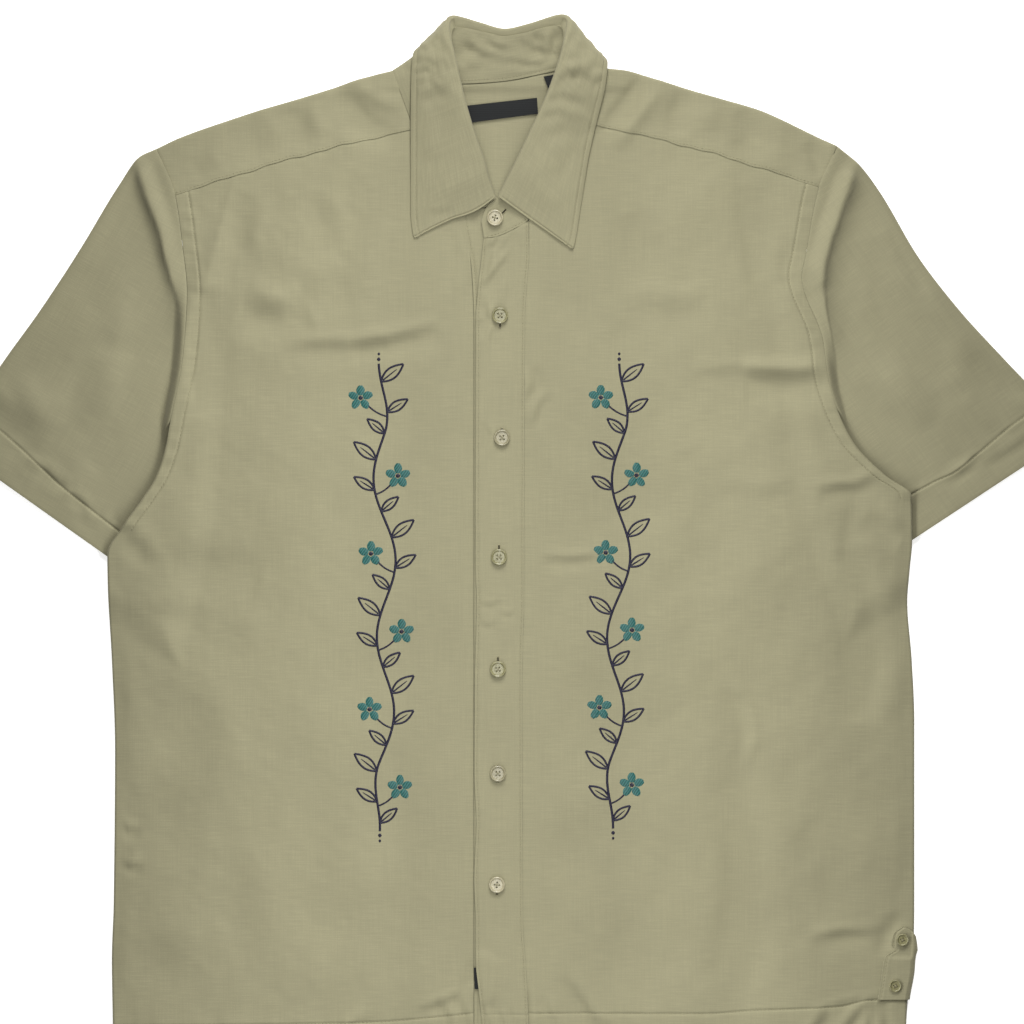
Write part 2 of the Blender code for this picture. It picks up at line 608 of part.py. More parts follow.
def collar_fall(finish):
    """The collar's fall: up inside from the stand, over the fold and down outside to its edge."""
    across = [("roll", turn) for turn in FALL_ROLL_TURNS] + [("out", share) for share in FALL_ACROSS]
    middle = Vector(COLLAR_MIDDLE)

    sways = dict(zip(FALL, FALL_SWAY))

    def place(column, row):
        fold, edge, facing, strip_share = row
        fold, edge = Vector(fold), Vector(edge)
        level = (fold - middle) * Vector((1, 1, 0))
        level.normalize()
        turn = math.radians(facing)
        outside = level * math.cos(turn) + Vector((0, 0, math.sin(turn)))
        away = fold - edge
        away = (away - outside * away.dot(outside)).normalized()
        half = COLLAR_ROLL / 2
        centre = fold - away * half
        kind, value = column
        if kind == "roll":
            angle = math.radians(value)
            reach = centre + away * half * math.cos(angle) + outside * half * (1 + math.sin(angle))
            if value == FALL_ROLL_TURNS[0]:
                reach -= away * (COLLAR_STRIP - half) * strip_share
            return reach
        start = centre + outside * COLLAR_ROLL
        crown = outside * FALL_CROWN * math.sin(math.pi * value) * max(math.sin(turn), 0)
        sway = away.cross(outside).normalized() * sways.get(row, 0) * math.sin(2 * math.pi * value)
        return start + (edge - start) * value + crown + sway

    return cloth("collar_fall", across, FALL, place, finish, offset=0.0)


def vent_tab(finish):
    """The tab that closes the side vent: it comes round the side seam and lies on the front."""
    reach = BODY / 2 + GAP + CLOTH
    columns = [("flat", 0), ("flat", 0.5)] + [("turn", turn) for turn in VENT_TAB_TURNS]

    def place(column, row):
        y, inner_x, off = row
        middle_x = at(SIDE_LEFT, y) - BODY / 2
        kind, value = column
        if kind == "flat":
            return inner_x + (middle_x - inner_x) * value, y, LAP
        turn = math.radians(value)
        return middle_x + (reach + off) * math.cos(turn), y, BODY / 2 + reach * math.sin(turn)

    return cloth("vent_tab", columns, list(reversed(VENT_TAB_ROWS)), place, finish)


def label(name, corners, height, finish, steps=(0, 1)):
    """A small flat piece between four corners, its underside at a given height."""
    lower_left, lower_right, upper_right, upper_left = corners

    def place(across, along):
        below = between(lower_left, lower_right, across)
        above = between(upper_left, upper_right, across)
        x, y = between(below, above, along)
        return x, y, height(x, y) + TAG_THICKNESS

    return cloth(name, list(steps), [0, 1], place, finish, wall=TAG_THICKNESS)


def button(name, diameter, spot, low, finish):
    """A four-hole button: a turned disc with a rim, then its holes."""
    radius = diameter / 2
    depth = BUTTON_DEPTH * diameter / BUTTON_DIAMETER
    profile = (
        (0.0, depth * 0.62), (radius * 0.62, depth * 0.62), (radius * 0.74, depth), (radius * 0.92, depth),
        (radius, depth * 0.72), (radius * 0.9, depth * 0.2), (radius * 0.6, 0.0), (0.0, 0.0),
    )
    outline = bmesh.new()
    corners = [outline.verts.new(Vector((reach, 0, height)) * MM) for reach, height in profile]
    for start, end in zip(corners, corners[1:]):
        outline.edges.new((start, end))
    mesh = bpy.data.meshes.new(name)
    outline.to_mesh(mesh)
    outline.free()
    mesh.materials.append(finish)
    piece = bpy.data.objects.new(name, mesh)
    piece.location = Vector((*spot, low)) * MM
    shirt.objects.link(piece)
    turned = piece.modifiers.new("Turned", "SCREW")
    turned.steps = BUTTON_STEPS
    turned.render_steps = BUTTON_STEPS
    turned.use_merge_vertices = True
    turned.merge_threshold = 0.00001
    holes = piece.modifiers.new("Holes", "BOOLEAN")
    holes.object = button_holes(name, diameter, piece.location)
    return piece


def button_holes(name, diameter, spot):
    """The cutter for a button's four holes."""
    radius = BUTTON_HOLE_DIAMETER / 2 * diameter / BUTTON_DIAMETER
    apart = BUTTON_DIAMETER * 0.135 * diameter / BUTTON_DIAMETER
    pins = bmesh.new()
    for index in range(BUTTON_HOLES):
        turn = 2 * math.pi * (index + 0.5) / BUTTON_HOLES
        made = bmesh.ops.create_cone(pins, cap_ends=True, segments=HOLE_STEPS, radius1=radius * MM,
                                     radius2=radius * MM, depth=3 * BUTTON_DEPTH * MM)
        shift = Vector((math.cos(turn), math.sin(turn), 0)) * apart * math.sqrt(2) * MM
        bmesh.ops.translate(pins, verts=made["verts"], vec=shift)
    mesh = bpy.data.meshes.new(name + "_holes")
    pins.to_mesh(mesh)
    pins.free()
    cutter = bpy.data.objects.new(name + "_holes", mesh)
    cutter.location = spot
    cutter.hide_render = True
    cutter.display_type = "WIRE"
    cutters.objects.link(cutter)
    return cutter


for old in list(bpy.data.objects):
    bpy.data.objects.remove(old, do_unlink=True)
shirt = bpy.data.collections.new("hawaiian_shirt")
cutters = bpy.data.collections.new("cutters")
bpy.context.scene.collection.children.link(shirt)
bpy.context.scene.collection.children.link(cutters)

linen = material("sage_linen", (0.40, 0.37, 0.24), 0.85)
shell_button = material("cream_button", (0.62, 0.57, 0.42), 0.35)
dark_label = material("charcoal_label", (0.04, 0.045, 0.045), 0.7)

back(linen)
yoke(linen)
front("front_right", SIDE_RIGHT, ARMHOLE_RIGHT, CENTRE_RIGHT, FRONT_ROWS_RIGHT, ARMPIT_ROWS_RIGHT, linen)
front("front_left", SIDE_LEFT, ARMHOLE_LEFT, CENTRE_LEFT, FRONT_ROWS_LEFT, ARMPIT_ROWS_LEFT, linen)
right_hole = ARMHOLE_RIGHT[:SHARED_RIGHT] + TUCKED_RIGHT
left_hole = ARMHOLE_LEFT[:SHARED_LEFT] + TUCKED_LEFT
sleeve("sleeve_right", right_hole, HEM_RIGHT, CAP_RIGHT, COVERED_RIGHT, SLEEVE_FOLDS_RIGHT, linen)
sleeve("sleeve_left", left_hole, HEM_LEFT, CAP_LEFT, COVERED_LEFT, SLEEVE_FOLDS_LEFT, linen)
stand_rows = [(y, at(CENTRE_RIGHT, y) + GAP, STAND_EDGE) for y in STAND_ROWS]
strip("button_stand", stand_rows, STAND_TOP, lambda x, y: BODY, linen)
placket_rows = [(y, left, at(CENTRE_LEFT, y) - GAP) for y, left in PLACKET_EDGE]
strip("placket", placket_rows, PLACKET_TOP, placket_top, linen)
collar_stand(linen)
collar_fall(linen)
vent_tab(linen)
label("neck_label", NECK_LABEL, lambda x, y: base(x, y) + CLOTH + GAP, dark_label, LABEL_STEPS)
label("size_tab", SIZE_TAB, lambda x, y: NECK_LIFT + CLOTH + GAP, dark_label)
label("care_tag", CARE_TAG, lambda x, y: BODY + GAP, dark_label)
for number, place_on_front in enumerate(BUTTONS, start=1):
    button(f"button_{number}", BUTTON_DIAMETER, place_on_front, LAP + GAP, shell_button)
for vent_name, place_on_tab in VENT_BUTTONS:
    button(vent_name, SMALL_BUTTON_DIAMETER, place_on_tab, LAP + GAP, shell_button)
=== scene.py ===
"""Short-sleeved button-front shirt lying flat, face up: its cloth, seams, stitching, buttons and finishes."""

import math

import bmesh
import bpy
import numpy as np
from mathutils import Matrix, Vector


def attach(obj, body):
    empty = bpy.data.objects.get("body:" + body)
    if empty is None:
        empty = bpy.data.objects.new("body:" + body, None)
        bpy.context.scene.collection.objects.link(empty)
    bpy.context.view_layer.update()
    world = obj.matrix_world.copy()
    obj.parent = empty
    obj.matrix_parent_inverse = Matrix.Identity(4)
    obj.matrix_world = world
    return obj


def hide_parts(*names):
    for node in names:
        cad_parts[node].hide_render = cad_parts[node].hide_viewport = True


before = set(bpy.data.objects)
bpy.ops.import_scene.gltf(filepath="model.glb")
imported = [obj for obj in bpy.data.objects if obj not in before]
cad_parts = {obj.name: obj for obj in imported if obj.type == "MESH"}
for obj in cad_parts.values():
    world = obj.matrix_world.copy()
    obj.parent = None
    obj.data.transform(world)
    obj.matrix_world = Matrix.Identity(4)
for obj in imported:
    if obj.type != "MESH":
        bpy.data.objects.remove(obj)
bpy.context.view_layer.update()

# Sizes and places are in millimetres and become metres when a mesh is made
MM = 0.001
CLOTH = 0.75            # one layer of linen
COLLAR_CLOTH = 0.95     # the collar's layers with their interlining
GAP = 0.35              # between two pieces where one lies on another
SEAM = 0.12             # and where they meet at a seam
BODY = 4.0              # height of the front lying on the back
TUCKED = 2.9            # height of the corner of a sleeve where the body lies on it
TUCK_LIFT = 3.5         # how far that corner lifts the body
NECK_LIFT = 1.75        # how far the collar's fall lifts the neck behind
NECK_LIFTED = 340       # from this far up the shirt,
NECK_SETTLED = 7        # over this much,
NECK_MIDDLE = -9        # about this middle,
NECK_HALF = 94          # this far to each side of it,
NECK_FADE = 10          # and fading out over this much
COLLAR_UNDER = 1.2      # what the collar's lower layers take up under the labels
LAP = 5.55              # height of the placket where it laps the button stand
LAP_FROM = 38           # the left front comes up to it from this far out
LAP_RUN = 25            # over this much,
NECKLINE_FROM = 300     # but not above the neckline
HEM = -402              # the shirt's lower edge
HEM_DEPTH = 25
HEM_SEAM = HEM + HEM_DEPTH
ARMHOLE_RISE = 1.1      # the armhole's seam stands up this much
ARMHOLE_STITCH = 7.0    # the armhole's topstitching lies this far in from the seam
SEAM_PUCKER = 0.42      # and puckers the cloth this much
HEM_PUCKER = 0.4        # and the hem's stitched line this much
SWELL = 1.35            # broad unevenness of the laid cloth
CRUMPLE = 0.27          # its small unevenness
PUFF = 0.8              # how much the upper layer stands off the lower one on the whole
BROAD = 1.3             # the body's creases are this much wider than their tables say,
CREASE = 2.0            # this much deeper,
LIP = 5.0               # and their lips this much higher
STEEPEST = 0.36         # but no deeper or higher than this share of their width
DEEPEST = 2.3           # how far the upper layer may sink before it meets the lower one
# Where the cloth lies quieter, under the collar and the vent tab: middle, half-width and half-height
CALM = (((-2, 290), (84, 84)), ((300, -338), (26, 42)), ((-9, -80), (21, 330)))
CALM_FADE = 40          # out to where the cloth is as uneven as elsewhere
CALM_SHARE = 0.2        # how much of its unevenness is left there
STITCH = 2.3            # length of one stitch
STITCH_PITCH = 2.9
THREAD = 0.42
# Places beside a stitched line where the cloth is drawn down, and how far other places keep from it
BESIDE_LINE = np.array((-1.7, -1.0, -0.5, 0, 0.5, 1.0, 1.7))
CLEAR_OF_LINE = 1.9
LABEL_TAPE = 0.6        # thickness of the labels' tape

# The side seams, hem to underarm: height up the shirt, place across it
SIDE_RIGHT = ((-402, -311), (-335, -312.5), (-288, -311), (-171, -310), (-101, -312.5), (-54, -315),
              (-18.3, -315.7))
SIDE_LEFT = ((-402, 306), (-366, 308), (-340, 312), (-288, 313), (-148, 313), (-101, 311), (-54, 307.5),
             (-31, 309), (-8, 311), (26.9, 310.6))

# The armholes, shoulder to underarm: height up the shirt, place across it
ARMHOLE_RIGHT = ((297.5, -277.5), (261, -262.7), (223.5, -257.2), (183.7, -253.3), (136, -256.4),
                 (84, -266.5), (64, -270.4), (41, -278.2), (24.6, -288.4), (2.7, -304))
ARMHOLE_LEFT = ((299.5, 252.5), (267.2, 238.1), (214.9, 228), (197.7, 224.8), (148.6, 241.2), (119, 245.1),
                (93.2, 252.9), (68.3, 265.4), (42.5, 290.4), (26.9, 310.6))

# The fronts' middle edges, hem to shoulder: height, place. Above the collar's end they are the neckline.
CENTRE_RIGHT = ((-402, -30.5), (160, -30.5), (185, -31.2), (210, -33), (243, -37.6), (262, -47),
                (282, -58), (300, -70), (312.4, -77.3))
CENTRE_LEFT = ((-402, 13), (-340, 10.5), (-303, 8), (-118, 7.5), (-54, 8.8), (165, 9.6), (190, 11),
               (215, 12.7), (241.4, 12.7), (262, 23), (281, 38.5), (299, 53.5), (316, 62.5))

# Rows of the fronts: height at the side or armhole, height at the middle
FRONT_ROWS_RIGHT = ((-402, -402), (-18.3, -18.3), (2.7, 2.7), (24.6, 26), (41, 48), (64, 76), (84, 104),
                    (110, 132), (136, 160), (160, 185), (183.7, 210), (223.5, 243), (233, 262), (242, 282),
                    (251, 300), (261, 312.4))
FRONT_ROWS_LEFT = ((-402, -402), (26.9, 26.9), (42.5, 46), (68.3, 76), (93.2, 104), (119, 132), (148.6, 165),
                   (175, 190), (197.7, 215), (214.9, 241.4), (228, 262), (241, 281), (254, 299), (267.2, 316))
YOKE_SEAM_BOW = 3.5     # how far the front yoke seams rise over a straight line
YOKE_EDGE = 0.5         # how far their edge stands up
YOKE_LINE = 1.8         # their stitched line, from the edge
# The ends of the seam across the back, and the back's rows: height at the right side, at the left side
BACK_SEAM_RIGHT = (-257.2, 223.5)
BACK_SEAM_LEFT = (228, 214.9)
BACK_ROWS = ((-402, -402), (-171, -148), (-92, -92), (-54, -54), (-36, -31), (-27, -8), (-18.3, 9),
             (2.7, 26.9), (24.6, 42.5), (41, 68.3), (64, 93.2), (84, 119), (136, 148.6), (183.7, 197.7),
             (223.5, 214.9))

# The shoulder line at the top fold of the yoke: place across, height
SHOULDER_RIGHT = ((-277.5, 297.5), (-259.5, 306), (-219.8, 320.2), (-196, 328), (-169, 335.8), (-141, 344.4),
                  (-120.7, 351.4), (-93.5, 358.3))
SHOULDER_LEFT = ((73.5, 360), (87.5, 358.6), (112.5, 351.4), (137.5, 343.6), (164.8, 335.8), (191.3, 328),
                 (209.2, 320.2), (239.7, 305.4), (252.5, 299.5))
# The back neckline between the shoulders: place across, height
BACK_NECK = ((-93.5, 354), (-80, 350), (-60, 347.8), (-39, 347.5), (-5, 349.8), (23, 355.3), (38, 358.2),
             (55, 358.6), (73.5, 356))

# The foot of each sleeve's armhole, which lies under the body: height, place
TUCKED_RIGHT = ((60, -267.5), (35, -268.5), (8, -271))
TUCKED_LEFT = ((66, 254.5), (42, 257), (20, 262))
SHARED_RIGHT = 6        # rows of the armhole that the sleeve's seam shares before it turns in there
SHARED_LEFT = 7

# The sleeves: the hem's upper and lower corners, and the cap's fold from shoulder to hem
HEM_RIGHT = ((-438.2, 66.7), (-284, -43))
HEM_LEFT = ((438.2, 76.4), (279.7, -28.4))
CAP_RIGHT = ((-277.5, 297.5), (-290.7, 291.3), (-306.3, 270.3), (-337.5, 218.8), (-368.7, 171.2),
             (-400, 127.5), (-438.2, 66.7))
CAP_LEFT = ((252.5, 299.5), (270, 285), (285.5, 264.8), (316.6, 212.5), (347.8, 172), (379.2, 137.7),
            (438.2, 76.4))

# How far in from each sleeve's hem its stitched line lies: share of the way along the hem from its upper
# corner, distance
CUFF_RIGHT = ((0, 33), (0.13, 31.7), (0.27, 29), (0.38, 26), (0.46, 24), (0.6, 22.6), (0.78, 21.2), (1, 20.5))
CUFF_LEFT = ((0, 33), (0.14, 32.3), (0.3, 29), (0.47, 26), (0.57, 28.6), (0.7, 30.2), (1, 30))
CUFF_USUAL = 28
CUFF_PUCKER = 0.45      # how much the stitched line puckers the cloth

# The part of each sleeve that the body covers
COVERED_RIGHT = ((-266.5, 84), (-316.5, -20.7), (-284, -43), (-271, 8))
COVERED_LEFT = ((252.9, 93.2), (262, 20), (279.7, -28.4), (312, -8.2), (312, 26.9))
COVER_REACH = 18        # the body is lifted to this far beyond it
COVER_FADE = 24         # and settles over this much
SINK_REACH = 62         # the sleeve is lower than the body from this far beyond it
SINK_RUN = 56           # down to its lowest over this much
CURL_FULL = 0           # the body's edge turns over fully below this height
CURL_TOP = 130          # and not at all above this one

# The placket's free edge, hem to collar: height, place; and its top edge
PLACKET_EDGE = ((-402, -22), (-385, -23.6), (-362, -26), (-352, -27.2), (-340, -28.4), (-303, -28.7),
                (-272, -30), (-227, -28.2), (-188, -29.8), (-118, -29.4), (-54, -28), (-23, -28.9),
                (60, -28.7), (165, -28.5), (190, -26.7), (215, -24))
PLACKET_UP = 0.3        # the placket's own two layers puff up a little
PLACKET_WIDTH = 38
PLACKET_LINES = (1.9, 36.2)  # its stitched lines, from its free edge
PLACKET_TOP = ((-22.5, 227.5), (-15.5, 228.1), (-8.9, 229.9), (1.4, 234.8), (12.3, 240.9))
STAND_EDGE = 6.0        # the button stand's hidden edge
STAND_WIDTH = 36
STAND_LINE = 2.2        # its stitched line, from the right front
STAND_TOP = ((-38.7, 246.3), (-30, 249.4), (-22, 251), (-8, 246), (6, 240))
CARE_TAG_MIDDLE = (-24, -349)
TAG_LIFT = 1.35         # how far the care tag lifts the placket

# The vent tab's rows: height, inner edge, how far it stands off the side; and its two buttons
VENT_TAB_ROWS = (
    (-365.4, 284.1, 0), (-358.4, 285.4, 0), (-340.5, 288, 0), (-331.9, 290, 0.4), (-326.4, 297.4, 1.2),
    (-321.8, 295.1, 1.6), (-314, 296.6, 1), (-309.3, 302.5, 0),
)
VENT_TAB_ROUND = 6.5    # how far its outer corner is rounded down
VENT_TAB_LINE = 1.7     # its stitched line, from its inner edge
VENT_BUTTONS = (("upper", (303.4, -318.6)), ("lower", (297.8, -354.5)))
VENT_BUTTON_TURN = 0.5

# Buttons down the front, from the collar's end to the hem: place
BUTTONS = ((-13.8, 243.4), (-9.9, 167.3), (-8.4, 72.2), (-10.7, -20.7), (-11.5, -108), (-11.5, -189.2),
           (-12.3, -275.7))
BUTTON_DIAMETER = 12.7
BUTTON_THICK = 2.6      # a small button is thinner in the same measure
SMALL_BUTTON_DIAMETER = 9.4
BUTTON_HOLE_OFF = 0.102  # share of a button's diameter from its middle to each hole, both ways
# How far each is turned, how far its buttonhole lies above its middle, and its tone
BUTTON_FORMS = ((0.55, 0, "cream"), (0.05, -2.9, "smoky"), (0.1, 0.8, "mid_cream"), (0, 2.9, "smoky"),
                (0.12, 2.9, "smoky"), (0, 0, "mid_cream"), (0.65, -1.4, "cream"))

COLLAR_FACE = COLLAR_CLOTH / 2 - 0.1  # from the middle of the collar's cloth to the stitches on its face
COLLAR_STAND_HEIGHT = 30
COLLAR_STAND_LINE = 2.0  # its stitched line, from the neck seam
# The collar's stand: a point on the neck seam and one at the top edge, both in the middle of the cloth
STAND = (
    ((5.5, 241, 3.4), (4.5, 258, 3.4)),
    ((-8, 247, 3.4), (-6, 259, 3.4)),
    ((-22, 252, 3.4), (-17, 260, 3.4)),
    ((-38.3, 247.4, 3.4), (-27, 265, 3.5)),
    ((-46.6, 262.3, 3.4), (-33, 282, 6.8)),
    ((-57.6, 282.4, 3.4), (-37, 301, 10.2)),
    ((-69.6, 300.4, 3.5), (-41, 318, 12)),
    ((-76.6, 312.8, 3.6), (-43, 328, 12.8)),
    ((-81.7, 326, 3.7), (-45, 340, 13.2)),
    ((-87.6, 342, 4.9), (-46.5, 356, 13.2)),
    ((-90.9, 351, 5.2), (-47, 372, 12.6)),
    ((-92.9, 356.4, 4.8), (-47.5, 383, 10.8)),
    ((-93.5, 357.9, 3.7), (-46.5, 389.5, 9)),
    ((-92.4, 356.6, 2.5), (-43, 391.5, 7.6)),
    ((-80, 350.8, 2.35), (-36, 391, 7)),
    ((-60, 348.6, 2.35), (-26, 389, 6.8)),
    ((-39, 348.3, 2.35), (-17, 387, 6.6)),
    ((-5, 350.6, 2.35), (-6.5, 385, 6.4)),
    ((23, 356.1, 2.35), (11, 388, 6.6)),
    ((38, 359, 2.35), (23, 391.5, 6.8)),
    ((55, 359.3, 2.35), (32, 393, 7)),
    ((70, 359.1, 2.5), (35.5, 393, 7.6)),
    ((72.6, 360, 3.7), (38.5, 391, 9)),
    ((72.4, 358.4, 4.8), (39.5, 385, 10.8)),
    ((70.9, 352.5, 5.2), (38.5, 373.5, 12.6)),
    ((67.8, 340, 4.8), (35.5, 360, 13.2)),
    ((64.8, 328, 3.9), (31, 345, 13.2)),
    ((61.6, 316, 3.7), (25, 329, 12.6)),
    ((53, 299.4, 3.7), (17.5, 313, 11.4)),
    ((38, 281.4, 3.9), (11, 296.5, 10.2)),
    ((22.6, 262.6, 4.4), (3, 280, 8.2)),
    ((12.2, 242.2, 4.95), (-4.5, 263, 5.6)),
    ((1.3, 235.2, 4.95), (-8.5, 258.5, 4.95)),
    ((-8.9, 230.3, 4.95), (-14.2, 257, 4.95)),
    ((-15.5, 228.5, 4.95), (-20.6, 251.4, 4.95)),
    ((-22.4, 227.9, 4.95), (-24.6, 241, 4.95)),
)

# The collar's fall: the fold, the outer edge, which way the outside faces in degrees up from level, and
# how much of the strip inside it has
FALL = (
    ((-13.4, 259.2, 6), (-77, 227.4, 4.9), 90, 0),
    ((-18, 272, 7.8), (-79.2, 243, 4.9), 90, 0.5),
    ((-22, 287, 10), (-79.4, 263, 5), 90, 1),
    ((-28, 304, 12), (-79.4, 284, 5.4), 90, 1),
    ((-33, 320, 13.4), (-79.4, 304, 6.2), 90, 1),
    ((-37.5, 336, 14.4), (-79.3, 322, 7.4), 90, 1),
    ((-41.3, 352, 14.8), (-79, 340, 8.8), 90, 1),
    ((-45, 370, 14.4), (-78.6, 357, 9.6), 80, 1),
    ((-48.5, 386, 12.6), (-77.5, 370, 9.2), 50, 1),
    ((-48, 395.5, 10), (-75.5, 374, 5.8), 0, 1),
    ((-46, 398.5, 8.7), (-75.5, 372.5, 2.3), -30, 1),
    ((-43, 399.6, 7.6), (-74, 368, 0.8), -60, 1),
    ((-36, 398.4, 7), (-64, 353, 0.62), -85, 1),
    ((-25, 395.2, 6.8), (-42, 345.8, 0.62), -90, 1),
    ((-6.8, 390.5, 6.4), (-5.5, 347.5, 0.62), -90, 1),
    ((11, 394, 6.6), (23, 352.8, 0.62), -90, 1),
    ((25, 398.4, 6.8), (44, 356, 0.62), -90, 1),
    ((33, 400.6, 7.2), (58, 360, 0.7), -80, 1),
    ((38.5, 400, 8.4), (70.5, 366.5, 2), -45, 1),
    ((41.5, 395, 10.4), (73.4, 365, 7), 10, 1),
    ((40.3, 385, 13), (73, 355, 9), 55, 1),
    ((37.5, 371, 14.6), (71.3, 343, 8.2), 85, 1),
    ((33.3, 357, 14.8), (67.6, 328, 7.2), 90, 1),
    ((27.5, 341, 14.4), (63.2, 310, 6.6), 90, 1),
    ((20.5, 324.5, 13.4), (59, 291, 6.2), 90, 1),
    ((12.6, 308, 12.2), (55.6, 270, 5.9), 90, 1),
    ((5, 292, 10.8), (52.4, 250, 5.5), 90, 0.9),
    ((-3, 276.5, 9), (49.8, 232, 5.3), 90, 0.5),
    ((-11.3, 259.6, 7.6), (47, 218.8, 5.2), 90, 0),
)
# How far the viewer's left leaf's lower edge bows: in near the button and out near its point
FALL_SWAY_IN = (2.4, 0.8)
FALL_SWAY_OUT = (0.6, 0.2)
FALL_CROWN = 1.3        # how far the leaves bulge between fold and edge
FALL_ROW = 17.0         # about how far apart the collar's rows are near its points
FALL_EDGE = 9.0         # its columns lie closer together this near its outer edge
FALL_LINE = 4.4         # its stitched line, from the outer edge
COLLAR_ROLL = 3.4       # how thick the roll at its fold is, and where it is pressed
COLLAR_PRESS = 30       # this far in from their lower edges the leaves are pressed flat
COLLAR_PRESSED = 2.1
COLLAR_SAG = 3.6        # and sag this much between their fold and their edge
COLLAR_CORNER = 2.6     # the points of the leaves are rounded this much
COLLAR_MIDDLE = (-4, 340, 0)

# Labels: the corners in the middle of each, from its lower left
NECK_LABEL = ((-32.5, 317.9), (19.7, 324.9), (18.9, 337.3), (-35.7, 331.2))
SIZE_TAB = ((27.5, 344.6), (38, 346.6), (36.5, 356.2), (24, 353.6))
CARE_TAG = ((-29.6, -357), (-20, -357.6), (-20, -341), (-30.4, -340.4))

# Creases: the line they follow, half their width to the left and to the right of the way the line runs,
# how deep they are, and how high the lip on their left is
RIGHT_FRONT_CREASES = (
    (((-214, 171), (-196, 163), (-178, 161), (-158, 169)), 9, 14, 1.6, 0.5),
    (((-176, 182), (-150, 180), (-126, 190)), 10, 15, 0.8, 0.25),
    (((-212, 208), (-196, 204), (-178, 206)), 10, 12, 0.5, 0.1),
    (((-180, 137), (-150, 139), (-122, 139), (-96, 144)), 5, 9, 0.9, 0.3),
    (((-124, 138), (-98, 142), (-78, 147), (-56, 153)), 5, 9, 1.9, 0.8),
    (((-240, 188), (-244, 150), (-246, 116), (-242, 88)), 15, 6, 2.6, 0.0),
    (((-31, 238), (-31, 60), (-31, -120), (-31, -392)), 3.0, 3.0, 0.6, 0.0),
    (((-40, 240), (-37, 220), (-40, 192)), 3, 3.6, 0.8, 0.4),
    (((-50, 236), (-46, 214), (-50, 186)), 4, 5, 0.5, 0.2),
    (((-268, -32), (-246, -30), (-222, -33), (-196, -40)), 12, 16, 1.1, 0.1),
    (((-312, -62), (-290, -68), (-262, -70), (-240, -66)), 9, 14, 0.8, 0.05),
    (((-312, -2), (-294, -14), (-284, -30)), 6, 10, 0.8, 0.2),
    (((-206, 262), (-214, 236), (-216, 214)), 7, 13, 0.8, 0.2),
    (((-160, 262), (-150, 236), (-148, 214)), 8, 13, 0.6, 0.2),
    (((-118, 250), (-132, 214), (-138, 186)), 10, 18, 0.7, 0.2),
    (((-60, 90), (-70, -30), (-64, -150)), 20, 26, 0.7, 0.2),
    (((-190, 60), (-206, 0), (-204, -70)), 22, 30, 0.8, 0.2),
    (((-280, -120), (-262, -170), (-268, -230)), 20, 26, 0.8, 0.2),
    (((-160, -140), (-166, -230), (-154, -320)), 20, 26, 0.7, 0.2),
    (((-230, -250), (-214, -290), (-206, -330)), 12, 16, 0.4, 0.1),
    (((-308, -232), (-300, -237), (-290, -234)), 3, 4, 0.8, 0.4),
    (((-308, -262), (-298, -265), (-288, -262)), 3, 4, 0.7, 0.3),
    (((-300, -330), (-262, -340), (-220, -336)), 12, 20, 0.4, 0.1),
    (((-76, -377), (-56, -371), (-35, -362)), 3, 5, 0.9, 0.4),
    (((-60, -366), (-52, -380), (-50, -402)), 3, 5, 0.8, 0.5),
    (((-46, -364), (-39, -376), (-36, -402)), 3, 4, 0.8, 0.5),
    (((-126, -402), (-122, -388), (-112, -380)), 4, 5, 0.7, 0.3),
    (((-31, -334), (-33, -350), (-40, -362)), 3, 4, 0.7, 0.3),
)
